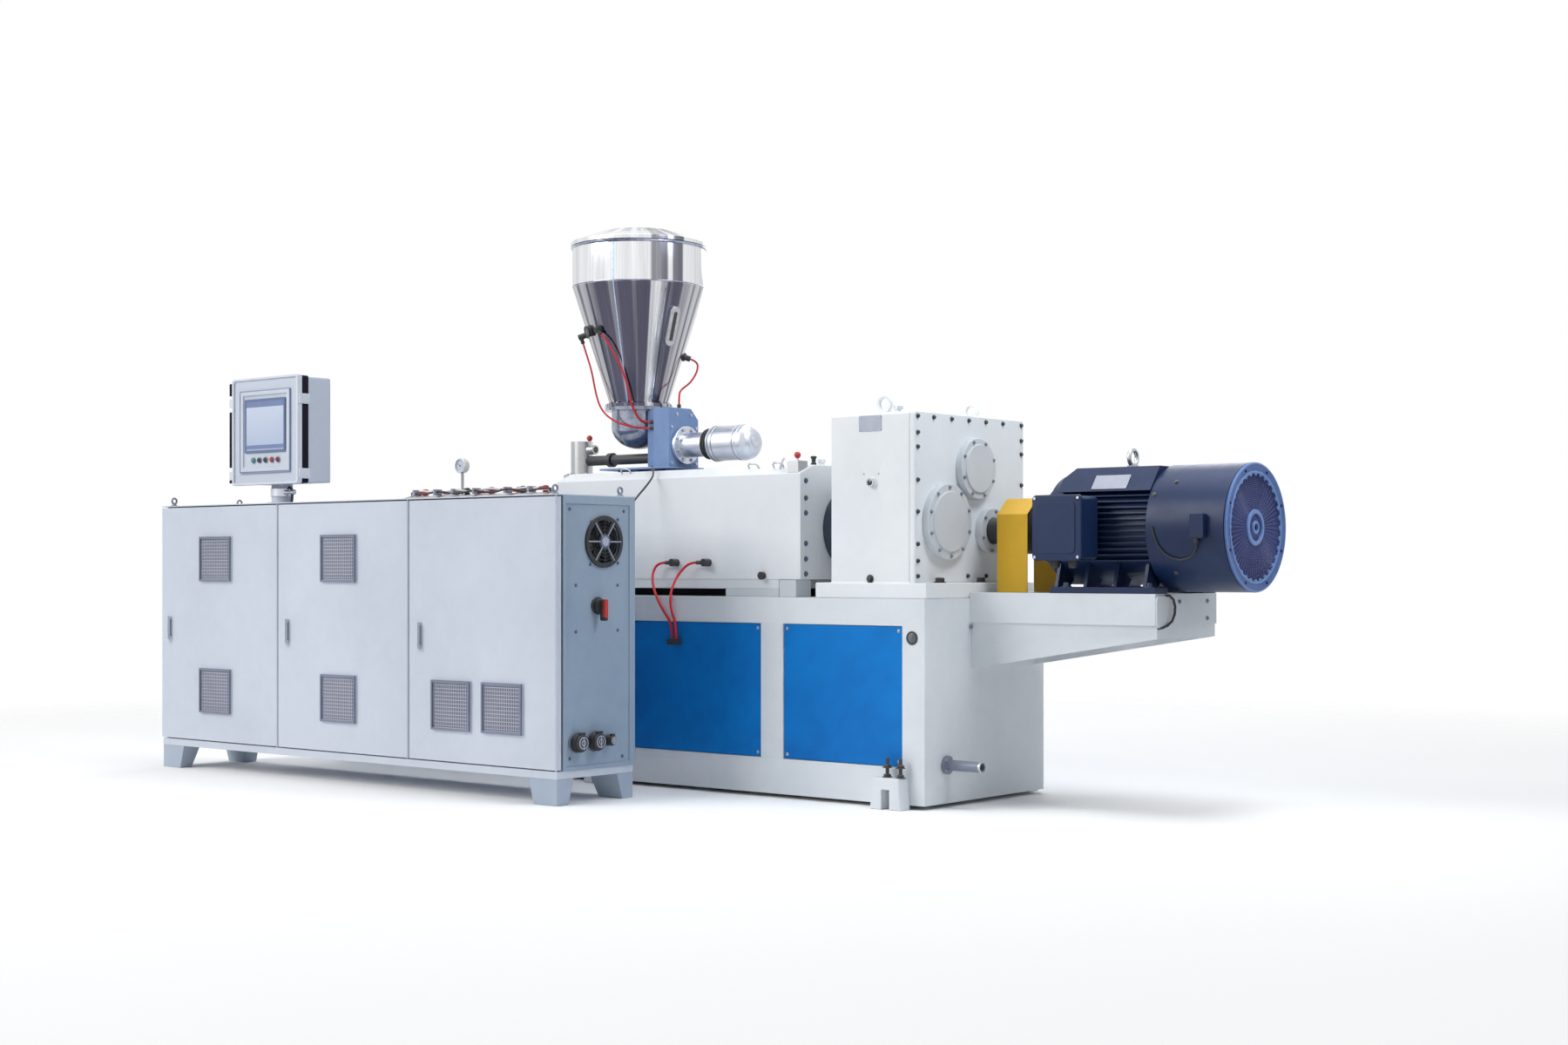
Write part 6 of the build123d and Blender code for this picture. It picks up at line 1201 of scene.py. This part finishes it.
# barrel side: sensor sockets along the cover, cover bands, head bolts and the gauge's dial
barrel = {
    "y": 0.342, "bandHalf": 0.012, "bandReach": (0.1965, 0.1965, 0.1935, 0.1935), "bandFoot": 0.858,
    "crown": 1.182, "axisZ": 0.988, "sockets": (-1.8, -1.52, -1.36, -1.16, -1.02),
    "bands": (-1.885, -1.665, -1.43, -1.195, -0.975), "gauge": (-1.5855, 1.311),
}
barrelY, crown = barrel["y"], barrel["crown"]
bm = bmesh.new()
for x in barrel["bands"]:
    near, far = x - barrel["bandHalf"], x + barrel["bandHalf"]
    rows = []
    for level, reach in zip((near, far, far, near), barrel["bandReach"]):
        row = [(-reach, barrel["bandFoot"] - barrel["axisZ"])]
        row += [(-reach * math.cos(math.pi * step / 24), reach * math.sin(math.pi * step / 24))
            for step in range(25)]
        row.append((reach, barrel["bandFoot"] - barrel["axisZ"]))
        rows.append([bm.verts.new((level, barrelY + y, barrel["axisZ"] + z)) for y, z in row])
    for first, second in zip(rows, rows[1:] + rows[:1]):
        for index in range(len(first) - 1):
            bm.faces.new((first[index], second[index], second[index + 1], first[index + 1]))
    for end in (0, -1):
        bm.faces.new([row[end] for row in rows])
piece("barrelBands", bm, "plain_steel", smooth=30)
bandScrews = [((x, barrelY + side * 0.1965, 0.9), (0, side, 0)) for x in barrel["bands"] for side in (-1, 1)]
screws("barrelBandScrews", bandScrews, None, (0.005, 0.005, 6, 1.4), "bolt_zinc")
for side, body in ((-1, "barrelVentsFront"), (1, "barrelVentsRear")):
    holders = [((x, barrelY + side * 0.1945, 0.93), upward) for x in (-1.775, -1.5475, -1.3125, -1.085)]
    grown(body, slatTree, holders, {"Count": 7, "Pitch": (0, 0, 0.014), "Blade": (0.12, 0.004, 0.0065),
        "Tilt": (0.5 * side, 0, 0)}, "machine_white")
for name, places, skin in (("barrelSocketsRed", barrel["sockets"][::2], "red_plastic"),
        ("barrelSocketsBlack", barrel["sockets"][1::2], "black_plastic")):
    solid(name, skin, *[step for x in places for step in ((turned, (x, barrelY - 0.03, crown - 0.004),
        upward, [(0, 0.013), (0.008, 0.013), (0.009, 0.01), (0.016, 0.01), (0.017, 0.014), (0.027, 0.014),
        (0.031, 0.009), (0.032, 0)], 20), (turned, (x - 0.012, barrelY - 0.03, crown + 0.018), left,
        [(0, 0.006), (0.022, 0.006), (0.028, 0.004), (0.029, 0)], 14))], smooth=32, weld=False)
screws("headFlangeBolts", onCircle((-1.9605, barrelY, 1.0), 0.112, 8, 0.39), left, (0.009, 0.011, 6, 1.3),
    "bolt_zinc")
blockBolts = [(-0.8955 + dx, barrelY + side * 0.118, 1.16) for dx in (0.03, 0.175) for side in (-1, 1)]
screws("feedBlockBolts", blockBolts, upward, (0.009, 0.011, 6, 1.3), "bolt_zinc")
# a black slab in the gap between the drive housing and the base: painted shade
solid("housingGapShade", "black_steel", (block, (-0.64, 0.33, 0.7415), (0.54, 0.354, 0.7725)), bevel=0.001)
for name, skin, level, offset, phase in (("barrelWirePale", "machine_white", 1.196, -0.046, 0.0),
        ("barrelWireBlack", "black_plastic", 1.19, -0.06, 1.3),
        ("barrelWireRed", "cord_red", 1.192, -0.034, 2.4)):
    bm = bmesh.new()
    path = [(-1.87 + 0.9 * step / 60, barrelY + offset + 0.007 * math.sin(step * 0.53 + phase),
        level + 0.005 * math.sin(step * 0.41 + phase * 2)) for step in range(61)]
    path = [(path[0][0], path[0][1], crown - 0.002)] + path + [(path[-1][0], path[-1][1], crown - 0.002)]
    bentBar(bm, path, 0.0045, 8)
    piece(name, bm, skin, smooth=60)
solid("barrelWireTies", "vent_lavender",
    *[(block, (x - 0.006, barrelY - 0.07, crown - 0.003), (x + 0.006, barrelY - 0.026, crown + 0.024))
    for x in (-1.84, -1.7, -1.58, -1.44, -1.24, -1.09)], bevel=0.0012, weld=False)
gaugeX, gaugeZ = barrel["gauge"]
solid("gaugeBezel", "motor_silver",
    (ring, (gaugeX, 0.3295, gaugeZ), front, 0.0335, 0.0275, 0.006, 40, 0.0012), smooth=40)
solid("gaugeDial", "dial_white",
    (turned, (gaugeX, 0.3295, gaugeZ), front, [(0, 0.028), (0.0016, 0.028), (0.0016, 0)], 36), smooth=30)
bm = bmesh.new()
for step in range(11):
    turn = math.radians(225 - 27 * step)
    along = Vector((math.cos(turn), 0, math.sin(turn)))
    bentBar(bm, [Vector((gaugeX, 0.3276, gaugeZ)) + along * 0.0205,
        Vector((gaugeX, 0.3276, gaugeZ)) + along * 0.0255], 0.0006, 6)
turn = math.radians(150)
along = Vector((math.cos(turn), 0, math.sin(turn)))
bentBar(bm, [Vector((gaugeX, 0.3272, gaugeZ)) - along * 0.006,
    Vector((gaugeX, 0.3272, gaugeZ)) + along * 0.021], 0.0009, 6)
turned(bm, (gaugeX, 0.3285, gaugeZ), front, [(0, 0.003), (0.0024, 0.003), (0.0028, 0)], 14)
piece("gaugePointer", bm, "black_plastic", smooth=40, weld=False)
print("barrel and gauge dressed")
